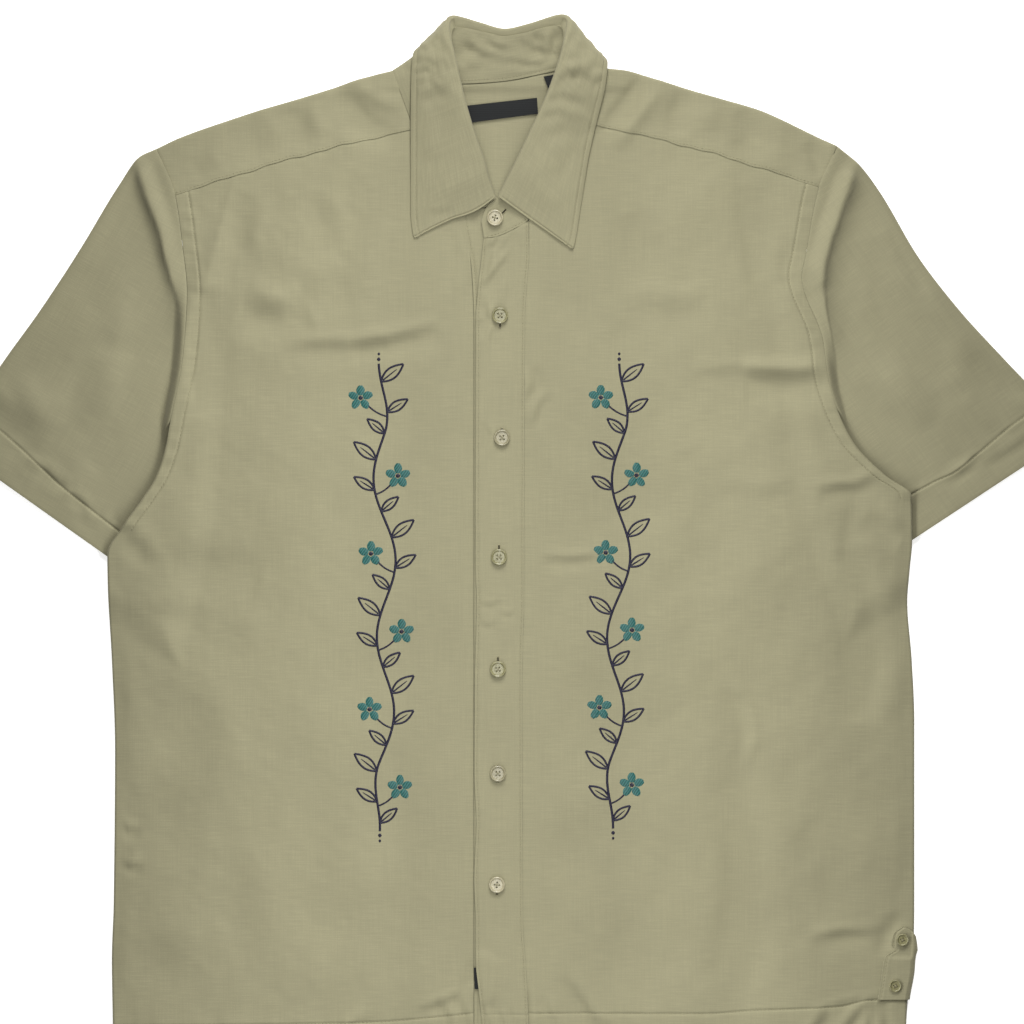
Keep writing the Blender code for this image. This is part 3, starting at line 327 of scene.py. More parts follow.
LEFT_FRONT_CREASES = (
    (((86, 171), (110, 167), (134, 167), (156, 172)), 8, 13, 0.6, 0.15),
    (((140, 116), (172, 119), (206, 117), (238, 119)), 5, 10, 0.6, 0.2),
    (((180, 112), (202, 112), (224, 110), (248, 114)), 7, 12, 1.7, 0.6),
    (((178, 268), (184, 232), (190, 196), (206, 168)), 16, 8, 1.2, 0.3),
    (((222, 226), (214, 206), (216, 186)), 12, 7, 0.9, 0.2),
    (((236, 27), (252, 29), (268, 30), (286, 38)), 4, 9, 2.0, 1.1),
    (((268, 24), (262, 8), (260, -14), (262, -40)), 9, 6, 0.7, 0.15),
    (((276, 12), (288, 0), (302, -8)), 6, 9, 0.9, 0.2),
    (((270, -14), (274, -60), (276, -110), (270, -150)), 10, 19, 2.2, 0.05),
    (((160, 26), (190, 24), (222, 26)), 6, 12, 0.4, 0.1),
    (((164, -120), (176, -138), (180, -160), (174, -184)), 4, 5, 0.5, 0.2),
    (((176, -126), (182, -250), (180, -392)), 13, 18, 1.9, 0.05),
    (((220, -236), (244, -262), (252, -300)), 18, 14, 0.6, 0.1),
    (((22, -24), (44, -26), (70, -23)), 3, 5, 0.8, 0.4),
    (((14, 96), (20, 112), (18, 128)), 4, 4, 0.8, 0.4),
    (((20, 80), (24, 96), (30, 104)), 3.5, 4, 0.7, 0.3),
    (((56, 10), (64, -60), (60, -140)), 24, 22, 0.7, 0.2),
    (((234, -322), (256, -318), (284, -318)), 4, 7, 0.7, 0.3),
    (((310, -303), (298, -306), (290, -316), (286, -332)), 5, 6, 1.7, 0.3),
    (((226, -386), (246, -374), (268, -369), (292, -366)), 3, 6, 0.3, 0.1),
    (((256, -402), (266, -384), (284, -368)), 3.4, 4, 1.1, 0.4),
    (((276, -402), (280, -386), (285, -368)), 3, 3, 1.1, 0.5),
    (((298, -402), (292, -384), (287, -369)), 3.6, 4, 1.1, 0.6),
    (((232, -402), (238, -390), (250, -378)), 4, 5, 0.8, 0.4),
    (((8, -350), (10, -370), (9, -402)), 3, 4, 0.8, 0.4),
    (((22, -364), (29, -380), (36, -402)), 3, 4, 1.2, 0.6),
    (((38, -348), (48, -364), (60, -384), (66, -402)), 4, 6, 1.4, 0.8),
    (((66, -380), (76, -392), (82, -402)), 3, 4, 0.7, 0.4),
    (((90, 246), (100, 214), (104, 190)), 12, 12, 0.7, 0.2),
    (((130, 60), (150, 10), (152, -50)), 26, 22, 0.8, 0.2),
)
YOKE_CREASES = (
    (((-142, 338), (-124, 328), (-106, 318), (-88, 315)), 8, 13, 1.8, 0.5),
    (((-128, 326), (-112, 312), (-92, 306)), 5, 9, 1.0, 0.3),
    (((-214, 316), (-200, 300), (-188, 290)), 9, 13, 0.5, 0.15),
    (((-172, 330), (-168, 312), (-160, 298)), 7, 11, 0.8, 0.3),
    (((-250, 292), (-244, 280), (-246, 270)), 7, 8, 0.3, 0.1),
    (((104, 356), (90, 338), (76, 320), (68, 306)), 7, 4, 1.9, 0.9),
    (((134, 344), (126, 326), (128, 308)), 12, 7, 1.0, 0.3),
    (((176, 326), (182, 306), (176, 290)), 12, 7, 0.9, 0.3),
    (((228, 302), (236, 288), (240, 276)), 7, 4, 0.8, 0.3),
)
SLEEVE_CREASES_RIGHT = (
    (((-330, 206), (-336, 150), (-352, 100)), 14, 22, 1.4, 0.3),
    (((-352, 180), (-366, 140), (-396, 104)), 12, 18, 1.0, 0.3),
    (((-282, 130), (-296, 84), (-326, 44)), 10, 20, 1.3, 0.3),
    (((-410, 110), (-396, 84), (-372, 60)), 12, 16, 0.9, 0.3),
    (((-346, 28), (-338, 21), (-330, 15)), 3, 4, 0.6, 0.3),
    (((-372, 52), (-360, 40), (-346, 31)), 3, 4, 0.3, 0.15),
    (((-438, 120), (-420, 110), (-400, 88)), 6, 9, 0.6, 0.2),
    (((-340, 10), (-328, 0), (-316, -14)), 4, 4, 0.8, 0.4),
)
SLEEVE_CREASES_LEFT = (
    (((296, 268), (300, 240), (308, 214), (322, 184)), 14, 6, 1.9, 0.7),
    (((280, 226), (288, 186), (302, 150), (328, 110)), 20, 10, 1.5, 0.4),
    (((318, 168), (324, 130), (344, 96)), 18, 10, 1.1, 0.3),
    (((352, 150), (366, 124), (390, 100)), 14, 9, 0.9, 0.3),
    (((334, 34), (346, 40), (356, 47), (366, 58)), 3, 5, 1.0, 0.3),
    (((366, 48), (388, 60), (410, 76), (436, 96)), 2.6, 4, 0.5, 0.15),
    (((262, 108), (276, 84), (300, 60)), 14, 9, 1.2, 0.3),
    (((388, 100), (400, 86), (420, 82)), 5, 6, 0.6, 0.3),
)
CREASES = (RIGHT_FRONT_CREASES + LEFT_FRONT_CREASES + YOKE_CREASES + SLEEVE_CREASES_RIGHT
           + SLEEVE_CREASES_LEFT)
PLACKET_CREASES = (
    (((-9, 214), (-4, 222), (2, 232)), 3, 4, 0.8, 0.4),
    (((-19, 226), (-20, 214), (-24, 198)), 3, 4, 0.7, 0.3),
    (((-24, 178), (-21, 166), (-24, 150)), 3, 4, 0.7, 0.3),
    (((-24, 84), (-20, 74), (-24, 58)), 3, 4, 0.5, 0.2),
    (((-24, 186), (-14, 194), (-2, 210), (6, 226)), 4, 7, 0.9, 0.5),
    (((-20, 216), (-12, 222), (-4, 236)), 3, 4, 0.7, 0.4),
    (((-2, 176), (0, 196), (4, 212)), 4, 5, 0.6, 0.2),
    (((-26, 158), (-16, 164), (-8, 176)), 3, 5, 0.5, 0.3),
    (((-27, -58), (-16, -60), (-8, -56)), 2.4, 3.4, 0.6, 0.4),
    (((-10, -66), (-2, -68), (3, -64)), 2.4, 3, 0.5, 0.3),
    (((-27, -72), (-20, -76), (-12, -74)), 2.4, 3, 0.4, 0.3),
    (((-6, -402), (-10, -384), (-16, -368)), 3, 4, 0.8, 0.4),
    (((3, -402), (-1, -386), (-2, -372)), 2.8, 3, 0.7, 0.3),
    (((-13, 140), (-14, 150), (-12, 160)), 4, 4, 0.5, 0.2),
)
STAND_CREASES = (
    (((-40, 386), (-36, 374), (-40, 362)), 5, 6, 1.0, 0.8),
    (((-28, 388), (-30, 376), (-26, 366)), 4, 5, 0.7, 0.6),
    (((34, 390), (30, 378), (34, 366)), 6, 6, 1.1, 0.8),
    (((22, 392), (18, 380), (22, 368)), 5, 5, 0.8, 0.6),
    (((-38, 378), (-26, 370), (-12, 367)), 3, 5, 0.7, 0.6),
    (((-24, 386), (-16, 377), (-2, 371)), 3, 4, 0.6, 0.5),
    (((2, 384), (14, 374), (30, 370)), 3, 5, 0.7, 0.5),
    (((-6, 366), (10, 362), (26, 361)), 2.5, 4, 0.4, 0.4),
    (((6, 387), (20, 390), (34, 394)), 1.4, 1.8, 0.5, 0.4),
)
FALL_CREASES = (
    (((-77, 378), (-66, 382), (-56, 390)), 4, 5, 1.3, 1.0),
    (((-72, 352), (-62, 360), (-50, 362)), 4, 5, 1.0, 0.8),
    (((-70, 332), (-60, 338), (-48, 336)), 5, 7, 0.9, 0.6),
    (((44, 392), (54, 382), (62, 368)), 4, 5, 1.3, 1.0),
    (((36, 348), (50, 352), (66, 344)), 5, 6, 1.0, 0.7),
    (((26, 304), (40, 310), (56, 304)), 6, 8, 0.9, 0.5),
    (((-78, 371), (-66, 374), (-54, 384)), 2.4, 4, 1.1, 0.9),
    (((-78, 362), (-70, 364), (-62, 362)), 2, 3, 0.7, 0.4),
    (((-78, 355), (-68, 357), (-60, 353)), 2, 3, 0.6, 0.4),
    (((-76, 347), (-66, 348), (-58, 344)), 2.4, 4, 0.6, 0.3),
    (((28, 361), (40, 358), (52, 350)), 2.2, 4, 1.3, 0.8),
    (((18, 318), (36, 322), (54, 316), (62, 308)), 4, 8, 1.0, 0.5),
    (((20, 332), (38, 336), (58, 330)), 3, 6, 0.8, 0.4),
    (((42, 384), (56, 372), (66, 356)), 5, 7, 0.8, 0.5),
    (((36, 270), (42, 284), (50, 300)), 8, 6, 0.6, 0.2),
    (((-74, 284), (-62, 288), (-50, 300)), 6, 9, 0.5, 0.2),
    (((-66, 246), (-56, 246), (-48, 250)), 3, 4, 0.5, 0.2),
    (((-66, 340), (-56, 320), (-52, 296)), 10, 8, 0.6, 0.2),
)
# The step beside each armhole, from the shoulder down, where the sleeve drops away beside the strip that
# is pressed with the seam
VALLEY_RIGHT = ((-293, 286), (-289, 270), (-282.5, 252), (-275.5, 234), (-270.5, 212), (-266, 196),
                (-259.5, 176), (-257.8, 150), (-259.5, 128), (-265, 106))
VALLEY_LEFT = ((267, 284), (263.5, 270), (256.5, 250), (248, 226), (243, 208), (241.5, 190), (243.5, 172),
               (247.5, 152), (251, 130), (256, 108))
VALLEY_STEP = 0.8       # how far its edge drops at once
VALLEY_DEPTH = 7.6      # and how far the sleeve sinks beyond it
SLEEVE_DEEPEST = 2.6    # how far a sleeve may sink before it meets its lower layer
# For each sleeve: how far the pressed strip stands up, and how far in it sinks beyond the strip's edge and
# beside the seam
SLEEVE_FALL = {"sleeve_right": (3.8, 7.5, 12.0), "sleeve_left": (5.6, 8.5, 14.0)}
SEWN_FADE = 24.0        # where the seam turns in under the front, the sleeve leaves its edge over this much
UNDER_FRONT = 1.7       # and starts this far below the front's upper side
# Where the hem is stitched across the fronts: place, height
HEM_LINE_RIGHT = ((-312, -386), (-200, -385), (-109, -383), (-60, -379), (-30, -376))
HEM_LINE_LEFT = ((8, -376), (150, -376.2), (193, -373.5), (255, -370.8), (277, -366), (312, -365))

PHOTOGRAPH_WIDTH = 0.79872  # of the table that it shows, in metres

# Embroidery: a climbing stem with leaves and small blossoms, worked in satin stitch down each front. The
# stem's way, from its top: height, place
STEM_RIGHT = ((130, -104.3), (40, -101), (-60, -98.1), (-160, -100.5), (-234, -103.5))
STEM_LEFT = ((130, 82.9), (60, 84.8), (-20, 84), (-120, 79.4), (-232, 78.2))
STEM_WAVE = 7.5         # how far it swings to each side
STEM_BENDS = 6
STEM_WIDTH = 2.0
# The leaves at each bend: share of the stem past its middle, side, lean in degrees, size
LEAVES = ((-0.045, -1, 52, 1.0), (0.02, -1, 58, 0.86), (0.066, 1, 50, 0.8))
LEAF_LENGTH = 22
LEAF_WIDTH = 9.5
LEAF_EDGE = 1.7         # width of the bands that draw a leaf's edges
PETALS = 5
PETAL_LENGTH = 7.6
PETAL_WIDTH = 6.0
BLOSSOM_OFF = 19        # from the stem to a blossom's middle
STALK_WIDTH = 1.4
# Across a band of satin stitch: share of its half-width, share of its rise
SATIN_PROFILE = ((-1, -0.12), (-0.62, 0.72), (0, 1), (0.62, 0.72), (1, -0.12), (0, -0.5))


def smooth(table, keys):
    """The second column of a table where its first has the given values, on a curve without bulges."""
    rows = np.array(sorted(set(table)), dtype=float)
    place, value = rows[:, 0], rows[:, 1]
    step = np.diff(place)
    slope = np.diff(value) / step
    before, after = slope[:-1], slope[1:]
    alike = before * after > 0
    tangent = np.concatenate((slope[:1], np.zeros(len(slope) - 1), slope[-1:]))
    tangent[1:-1][alike] = 2 * before[alike] * after[alike] / (before[alike] + after[alike])
    keys = np.clip(np.asarray(keys, dtype=float), place[0], place[-1])
    at = np.clip(np.searchsorted(place, keys) - 1, 0, len(step) - 1)
    t = (keys - place[at]) / step[at]
    rise = value[at + 1] - value[at]
    bend = tangent[at] * step[at] * t * (1 - t) ** 2 - tangent[at + 1] * step[at] * t * t * (1 - t)
    return value[at] + rise * t * t * (3 - 2 * t) + bend


def through(points, steps):
    """Points at row numbers between the rows of a table, on a curve through the rows."""
    rows = np.array(points, dtype=float)
    at = np.clip(np.floor(steps).astype(int), 0, len(rows) - 2)
    t = (steps - at)[:, None]
    before, after = rows[np.maximum(at - 1, 0)], rows[np.minimum(at + 2, len(rows) - 1)]
    start, end = rows[at], rows[at + 1]
    return (start + 0.5 * t * (end - before + t * (2 * before - 5 * start + 4 * end - after
            + t * (3 * (start - end) + after - before))))


def ease(value):
    """0 below 0, 1 above 1, and a smooth step between."""
    value = np.clip(value, 0.0, 1.0)
    return value * value * (3 - 2 * value)


def unit(vectors):
    """The same ways, each 1 long."""
    return vectors / np.maximum(np.linalg.norm(vectors, axis=-1, keepdims=True), 1e-9)


def run_along(points):
    """How far along a row of points each one lies."""
    return np.concatenate(([0], np.cumsum(np.linalg.norm(np.diff(points, axis=0), axis=1))))


def nearest(places, wanted):
    """Which of some places lies nearest to a wanted one."""
    return int(np.argmin(np.abs(places - wanted)))


def one_column(x, y, z, column, up=0.0):
    """The points of one column of a grid, or a little above it."""
    return np.stack([x[:, column], y[:, column], z[:, column] + up], axis=1)


def spaced(start, end, step, lines=()):
    """Places from start to end about a step apart, with close ones beside each stitched line."""
    places = list(np.linspace(start, end, max(2, int(round(abs(end - start) / step)) + 1)))
    for line in lines:
        places = [p for p in places if abs(p - line) > CLEAR_OF_LINE or p in (start, end)]
        places += list(line + BESIDE_LINE)
    low, high = min(start, end), max(start, end)
    places = sorted({round(p, 4) for p in places if low <= p <= high})
    return np.array(places if start < end else places[::-1])


def beyond(x, y, corners):
    """How far places lie outside a shape whose corners run anticlockwise; less than 0 inside it."""
    furthest = np.full(np.shape(x), -1e9)
    for (ax, ay), (bx, by) in zip(corners, corners[1:] + corners[:1]):
        length = math.hypot(bx - ax, by - ay)
        furthest = np.maximum(furthest, ((by - ay) * (x - ax) - (bx - ax) * (y - ay)) / length)
    return furthest


def off_line(x, y, line):
    """How far places lie to the left of a bent line, and how far along it, from 0 to 1."""
    done = run_along(np.array(line, dtype=float))
    closest, side, along = np.full(np.shape(x), 1e9), np.zeros(np.shape(x)), np.zeros(np.shape(x))
    for (ax, ay), (bx, by), before, after in zip(line, line[1:], done, done[1:]):
        length = after - before
        ux, uy = (bx - ax) / length, (by - ay) / length
        reach = np.clip((x - ax) * ux + (y - ay) * uy, 0, length)
        away = np.hypot(x - ax - ux * reach, y - ay - uy * reach)
        left = (y - ay) * ux - (x - ax) * uy
        closer = away < closest
        closest = np.where(closer, away, closest)
        side = np.where(closer, np.where(left < 0, -away, away), side)
        along = np.where(closer, (before + reach) / done[-1], along)
    return side, along


def creases(x, y, rows, crease=1.0, lip_up=1.0, broad=1.0):
    """Height that a table of creases adds."""
    height = np.zeros(np.shape(x))
    for line, left_width, right_width, deep, lip in rows:
        left_width, right_width = left_width * broad, right_width * broad
        deep, lip = min(crease * deep, STEEPEST * left_width), min(lip_up * lip, 0.9 * STEEPEST * left_width)
        reach = 3.5 * max(left_width, right_width)
        across, up = zip(*line)
        if (np.min(x) > max(across) + reach or np.max(x) < min(across) - reach
                or np.min(y) > max(up) + reach or np.max(y) < min(up) - reach):
            continue
        side, along = off_line(x, y, line)
        fade = np.sin(math.pi * np.clip(along, 0.0, 1.0)) ** 0.6
        share = side / np.where(side > 0, left_width, right_width)
        lifted = lip * np.exp(-2.2 * (side / left_width - 1.7) ** 2)
        height += fade * (lifted - deep * np.exp(-1.6 * share ** 2))
    return height


def rumple(x, y, seed, shortest=16, longest=90, waves=30):
    """Soft unevenness of laid linen: many low waves, each its own length and way."""
    chance = np.random.default_rng(seed)
    height = np.zeros(np.shape(x))
    for length in np.geomspace(shortest, longest, waves):
        way, phase = chance.uniform(0, 2 * math.pi), chance.uniform(0, 2 * math.pi)
        wave = np.sin(2 * math.pi * (x * math.cos(way) + y * math.sin(way)) / length + phase)
        height += wave * (length / longest) ** 0.7
    return height / math.sqrt(waves)


def groove(distance, deep):
    """A stitched line: the cloth is drawn down at it and puffs up a little beside it."""
    return 0.14 * bump((np.abs(distance) - 2.1) / 1.1) - deep * bump(distance / 0.75)


def bump(share):
    """1 in the middle, fading away to both sides."""
    return np.exp(-share ** 2)


def not_below(height, deepest):
    """Heights whose hollows come softly to rest at a greatest depth."""
    return np.where(height < 0, -deepest * np.tanh(-height / deepest), height)


def base(x, y):
    """Height of the body's underside: the table, but for the sleeves' corners and the collar behind."""
    away = np.minimum(beyond(x, y, COVERED_RIGHT), beyond(x, y, COVERED_LEFT))
    corner = ease(1 - (away - COVER_REACH) / COVER_FADE)
    beside = (NECK_HALF + NECK_FADE - np.abs(x - NECK_MIDDLE)) / NECK_FADE
    neck = ease((y - NECK_LIFTED) / NECK_SETTLED) * ease(beside)
    return np.maximum(TUCK_LIFT * corner, NECK_LIFT * neck)


def body_top(x, y):
    """Height of the fronts' and the yoke's upper side, before creases."""
    lap = np.where((x > 0) & (y < NECKLINE_FROM), (LAP - BODY) * ease((LAP_FROM - x) / LAP_RUN), 0.0)
    return base(x, y) + BODY + lap


def relief(x, y):
    """What creases and unevenness add to a laid layer, less beside the placket. All pieces share them, so
    that they run on over the seams."""
    calm = np.ones(np.shape(x))
    for (middle_x, middle_y), (half_width, half_height) in CALM:
        away = np.maximum(np.abs(x - middle_x) - half_width, np.abs(y - middle_y) - half_height)
        calm = np.minimum(calm, CALM_SHARE + (1 - CALM_SHARE) * ease(away / CALM_FADE))
    soft = PUFF + SWELL * rumple(x, y, 3, 55, 190, 22) + CRUMPLE * rumple(x, y, 11, 10, 50, 26)
    return not_below(creases(x, y, CREASES, CREASE, LIP, BROAD) + soft * calm, DEEPEST)


def laid_top(x, y):
    """Height of the fronts' and the yoke's upper side with its creases."""
    return body_top(x, y) + relief(x, y)


def seam_sway(x):
    """How far a sewn line strays from its straight run."""
    return 0.6 * np.sin(x / 7.7) + 0.4 * np.sin(x / 3.1 + 1)


def edge_turn(degrees, curl):
    """A layer turning over at an edge: its way out and its way down since it left the flat."""
    length = BODY / 2 * np.radians(90 - degrees)
    bend = np.maximum(curl, 0.01) * 2 / BODY
    return np.sin(bend * length) / bend, (1 - np.cos(bend * length)) / bend


def armhole_curl(y):
    """How far the body's edge turns over: fully at the side seam and not at all high up the armhole."""
    return ease((CURL_TOP - y) / (CURL_TOP - CURL_FULL))


def linear(code):
    """An sRGB hex colour as linear light."""
    parts = [int(code[i:i + 2], 16) / 255 for i in (1, 3, 5)]
    return tuple(p / 12.92 if p <= 0.04045 else ((p + 0.055) / 1.055) ** 2.4 for p in parts) + (1.0,)


def node(tree, kind, settings=(), links=(), ramp=()):
    """Adds a node to a material, with its settings, what feeds it and a ramp's places and colours."""
    made = tree.nodes.new(kind)
    for name, value in dict(settings).items():
        if isinstance(name, int) or name in made.inputs:
            made.inputs[name].default_value = value
        else:
            setattr(made, name, value)
    for number, (place, colour) in enumerate(ramp):
        colours = made.color_ramp.elements
        stop = colours.new(place) if 0 < number < len(ramp) - 1 else colours[-1 if number else 0]
        stop.position, stop.color = place, linear(colour)
    for socket, source in dict(links).items():
        tree.links.new(source, made.inputs[socket])
    return made


def new_material(name, roughness, settings=(), by_grain=False):
    """A material with one shader, its tree, and a spot's place on the piece or along the cloth's grain."""
    made = bpy.data.materials.new(name)
    made.use_nodes = True
    shader = made.node_tree.nodes["Principled BSDF"]
    for socket, value in {"Roughness": roughness, **dict(settings)}.items():
        shader.inputs[socket].default_value = value
    if by_grain:
        place = node(made.node_tree, "ShaderNodeUVMap", {"uv_map": "cloth"}).outputs["UV"]
    else:
        place = node(made.node_tree, "ShaderNodeTexCoord").outputs["Object"]
    return made, made.node_tree, place


def surfaced(made, colour, height=None, strength=0.0, deep=0.0):
    """Joins a material's colour to its shader, and a relief this deep in millimetres."""
    tree = made.node_tree
    shader = tree.nodes["Principled BSDF"]
    tree.links.new(colour, shader.inputs["Base Color"])
    if height:
        raised = node(tree, "ShaderNodeBump", {"Strength": strength, "Distance": deep * MM},
                      {"Height": height})
        tree.links.new(raised.outputs["Normal"], shader.inputs["Normal"])
    return made


def slubby_linen():
    """Linen and rayon, plain woven and washed: thick and thin threads show as short streaks both ways."""
    made, tree, place = new_material("sage_linen_weave", 0.82,
                                     {"Sheen Weight": 0.12, "Sheen Roughness": 0.5}, by_grain=True)
    # weft slubs are about 0.8 mm high and 20 mm long, warp slubs 1 mm wide and 40 mm long
    slubs = []
    for scale, shift in (((50, 1250, 1), (0, 0, 0)), ((1000, 25, 1), (31, 7, 0))):
        drawn_out = node(tree, "ShaderNodeMapping", {"Scale": scale, "Location": shift}, {"Vector": place})
        noise = node(tree, "ShaderNodeTexNoise",
                     {"noise_dimensions": "2D", "Scale": 1.0, "Detail": 2.5, "Roughness": 0.6},
                     {"Vector": drawn_out.outputs["Vector"]})
        slubs.append(noise.outputs["Fac"])
    # the weave's own threads are 0.45 mm apart, drawn at 0.9 mm so that they show
    thread = node(tree, "ShaderNodeTexNoise", {"noise_dimensions": "2D", "Scale": 1150, "Detail": 1.0},
                  {"Vector": place})
    # dye takes a little unevenly over some 60 mm
    patch = node(tree, "ShaderNodeTexNoise", {"noise_dimensions": "2D", "Scale": 16, "Detail": 2.0},
                 {"Vector": place})
    streaks = node(tree, "ShaderNodeMath", {"operation": "MULTIPLY_ADD", 1: 0.6}, {0: slubs[1], 2: slubs[0]})
    all_threads = node(tree, "ShaderNodeMath", {"operation": "MULTIPLY_ADD", 1: 0.5},
                       {0: thread.outputs["Fac"], 2: streaks.outputs["Value"]}).outputs["Value"]
    tone = node(tree, "ShaderNodeMapRange", {"From Min": 0.7, "From Max": 1.4, "To Min": 0.0, "To Max": 1.0},
                {"Value": all_threads})
    colour = node(tree, "ShaderNodeValToRGB", (), {"Fac": tone.outputs["Result"]},
                  ((0.12, "#7f7b61"), (0.5, "#827e63"), (0.9, "#878367")))
    shade = node(tree, "ShaderNodeMapRange",
                 {"From Min": 0.3, "From Max": 0.7, "To Min": 0.975, "To Max": 1.02},
                 {"Value": patch.outputs["Fac"]})
    dyed = node(tree, "ShaderNodeHueSaturation", (),
                {"Color": colour.outputs["Color"], "Value": shade.outputs["Result"]})
    return surfaced(made, dyed.outputs["Color"], all_threads, 0.17, 0.3)


def spun_thread(name, dark, light, pitch, roughness, sheen):
    """Sewing or embroidery thread: the plies cross it at a slant and catch the light in turn."""
    made, tree, place = new_material(name, roughness, {"Sheen Weight": sheen, "Specular IOR Level": 0.3})
    turned = node(tree, "ShaderNodeMapping", {"Rotation": (0, 0, 0.6)}, {"Vector": place})
    ply = node(tree, "ShaderNodeTexWave",
               {"Scale": 1 / pitch, "Distortion": 1.5, "Detail": 1.0, "Detail Scale": 2.0},
               {"Vector": turned.outputs["Vector"]}).outputs["Fac"]
    colour = node(tree, "ShaderNodeValToRGB", (), {"Fac": ply}, ((0, dark), (1, light)))
    return surfaced(made, colour.outputs["Color"], ply, 0.5, 0.2)


def cast_polyester(name, dark, light):
    """Buttons turned from cast polyester, polished, with faint pearly clouds: no two take quite one tone."""
    made, tree, place = new_material(name, 0.34, {"IOR": 1.5, "Coat Weight": 0.1})
    cloud = node(tree, "ShaderNodeTexNoise", {"Scale": 330, "Detail": 3.0, "Distortion": 1.2},
                 {"Vector": place})
    colour = node(tree, "ShaderNodeValToRGB", (), {"Fac": cloud.outputs["Fac"]}, ((0.3, dark), (0.7, light)))
    return surfaced(made, colour.outputs["Color"])


def woven_label():
    """Label tape, close woven from charcoal polyester: fine ribs run across it."""
    made, tree, place = new_material("charcoal_woven_tape", 0.75,
                                     {"Sheen Weight": 0.04, "Specular IOR Level": 0.25})
    # the ribs are 0.25 mm apart, drawn at 0.8 mm so that they show
    ribs = node(tree, "ShaderNodeTexWave", {"Scale": 1 / 0.0045, "Distortion": 0.6, "bands_direction": "Y"},
                {"Vector": place}).outputs["Fac"]
    colour = node(tree, "ShaderNodeValToRGB", (), {"Fac": ribs}, ((0, "#0f1011"), (1, "#191b1c")))
    return surfaced(made, colour.outputs["Color"], ribs, 0.3, 0.1)


def white_card():
    """White card, matt, with a very faint tooth; it glows a little, painted light that keeps every shadow
    cast on it faint.
    """
    # the emission is painted light: the card glows so that no shadow on it is deep
    made, tree, place = new_material("white_matt_card_painted_glow", 0.9,
                                     {"Emission Color": (1, 1, 1, 1), "Emission Strength": 0.7})
    made.cycles.emission_sampling = "NONE"
    tooth = node(tree, "ShaderNodeTexNoise", {"Scale": 40, "Detail": 3.0}, {"Vector": place})
    colour = node(tree, "ShaderNodeValToRGB", (), {"Fac": tooth.outputs["Fac"]},
                  ((0, "#f8f8f7"), (1, "#fafafa")))
    return surfaced(made, colour.outputs["Color"])


def select_only(*objects):
    """Selects some objects and nothing else."""
    bpy.ops.object.select_all(action="DESELECT")
    for item in objects:
        item.select_set(True)
    bpy.context.view_layer.objects.active = objects[0]


def finished(piece, cad_node=None):
    """Attaches a piece to its body, and hides the solid that it stands for."""
    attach(piece, "root")
    if cad_node:
        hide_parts(cad_node)


def linked(name, mesh):
    """A new object in the scene, selected alone."""
    piece = bpy.data.objects.new(name, mesh)
    bpy.context.scene.collection.objects.link(piece)
    select_only(piece)
    return piece


def new_piece(name, points, faces, finish):
    """A piece from its points, in millimetres, and its faces."""
    mesh = bpy.data.meshes.new(name)
    mesh.from_pydata((np.asarray(points) * MM).tolist(), [], faces)
    mesh.materials.append(finish)
    return linked(name, mesh)


def grid_piece(name, x, y, z, finish, keep=None):
    """A sheet from a grid of places on its outside: rows up it, columns across it."""
    number = np.arange(x.size).reshape(x.shape)
    faces = np.stack([number[:-1, :-1], number[:-1, 1:], number[1:, 1:], number[1:, :-1]], axis=-1)
    faces = faces.reshape(-1, 4) if keep is None else faces[keep]
    return new_piece(name, np.stack([x, y, z], axis=-1).reshape(-1, 3), faces.tolist(), finish)


def walled(piece, wall, offset, rim, sharp):
    """Gives a sheet its wall, rounds the rim if it is asked for, and smooths all that is less sharp."""
    solid = piece.modifiers.new("Wall", "SOLIDIFY")
    solid.thickness, solid.offset = wall * MM, offset
    if rim:
        soften = piece.modifiers.new("Edges", "BEVEL")
        soften.width, soften.segments = wall * rim * MM, 2
        soften.limit_method, soften.angle_limit = "ANGLE", math.radians(55)
    for modifier in [m.name for m in piece.modifiers]:
        bpy.ops.object.modifier_apply(modifier=modifier)
    bpy.ops.object.shade_smooth_by_angle(angle=math.radians(sharp))


def cloth(name, x, y, z, cad_node, wall=CLOTH, offset=-1.0, keep=None, uv=None):
    """A piece of cloth, with its weave along its own grain."""
    piece = grid_piece(name, x, y, z, linen, keep)
    mesh = piece.data
    grain = np.stack([x, y] if uv is None else uv, axis=-1).reshape(-1, 2) * MM
    layer = mesh.uv_layers.new(name="cloth")
    corners = np.empty(len(mesh.loops), dtype=np.int32)
    mesh.loops.foreach_get("vertex_index", corners)
    layer.data.foreach_set("uv", grain[corners].ravel())
    if keep is not None:
        tidy = bmesh.new()
        tidy.from_mesh(mesh)
        loose = [corner for corner in tidy.verts if not corner.link_faces]
        bmesh.ops.delete(tidy, geom=loose, context="VERTS")
        tidy.to_mesh(mesh)
        tidy.free()
    walled(piece, wall, offset, 0.3, 60)
    finished(piece, cad_node)


def thread_piece(name, work, finish, sharp=60):
    """A piece of thread work from its points and faces."""
    piece = new_piece(name, *work, finish)
    bpy.ops.object.mode_set(mode="EDIT")
    bpy.ops.mesh.select_all(action="SELECT")
    bpy.ops.mesh.normals_make_consistent(inside=False)
    bpy.ops.object.mode_set(mode="OBJECT")
    bpy.ops.object.shade_smooth_by_angle(angle=math.radians(sharp))
    finished(piece)


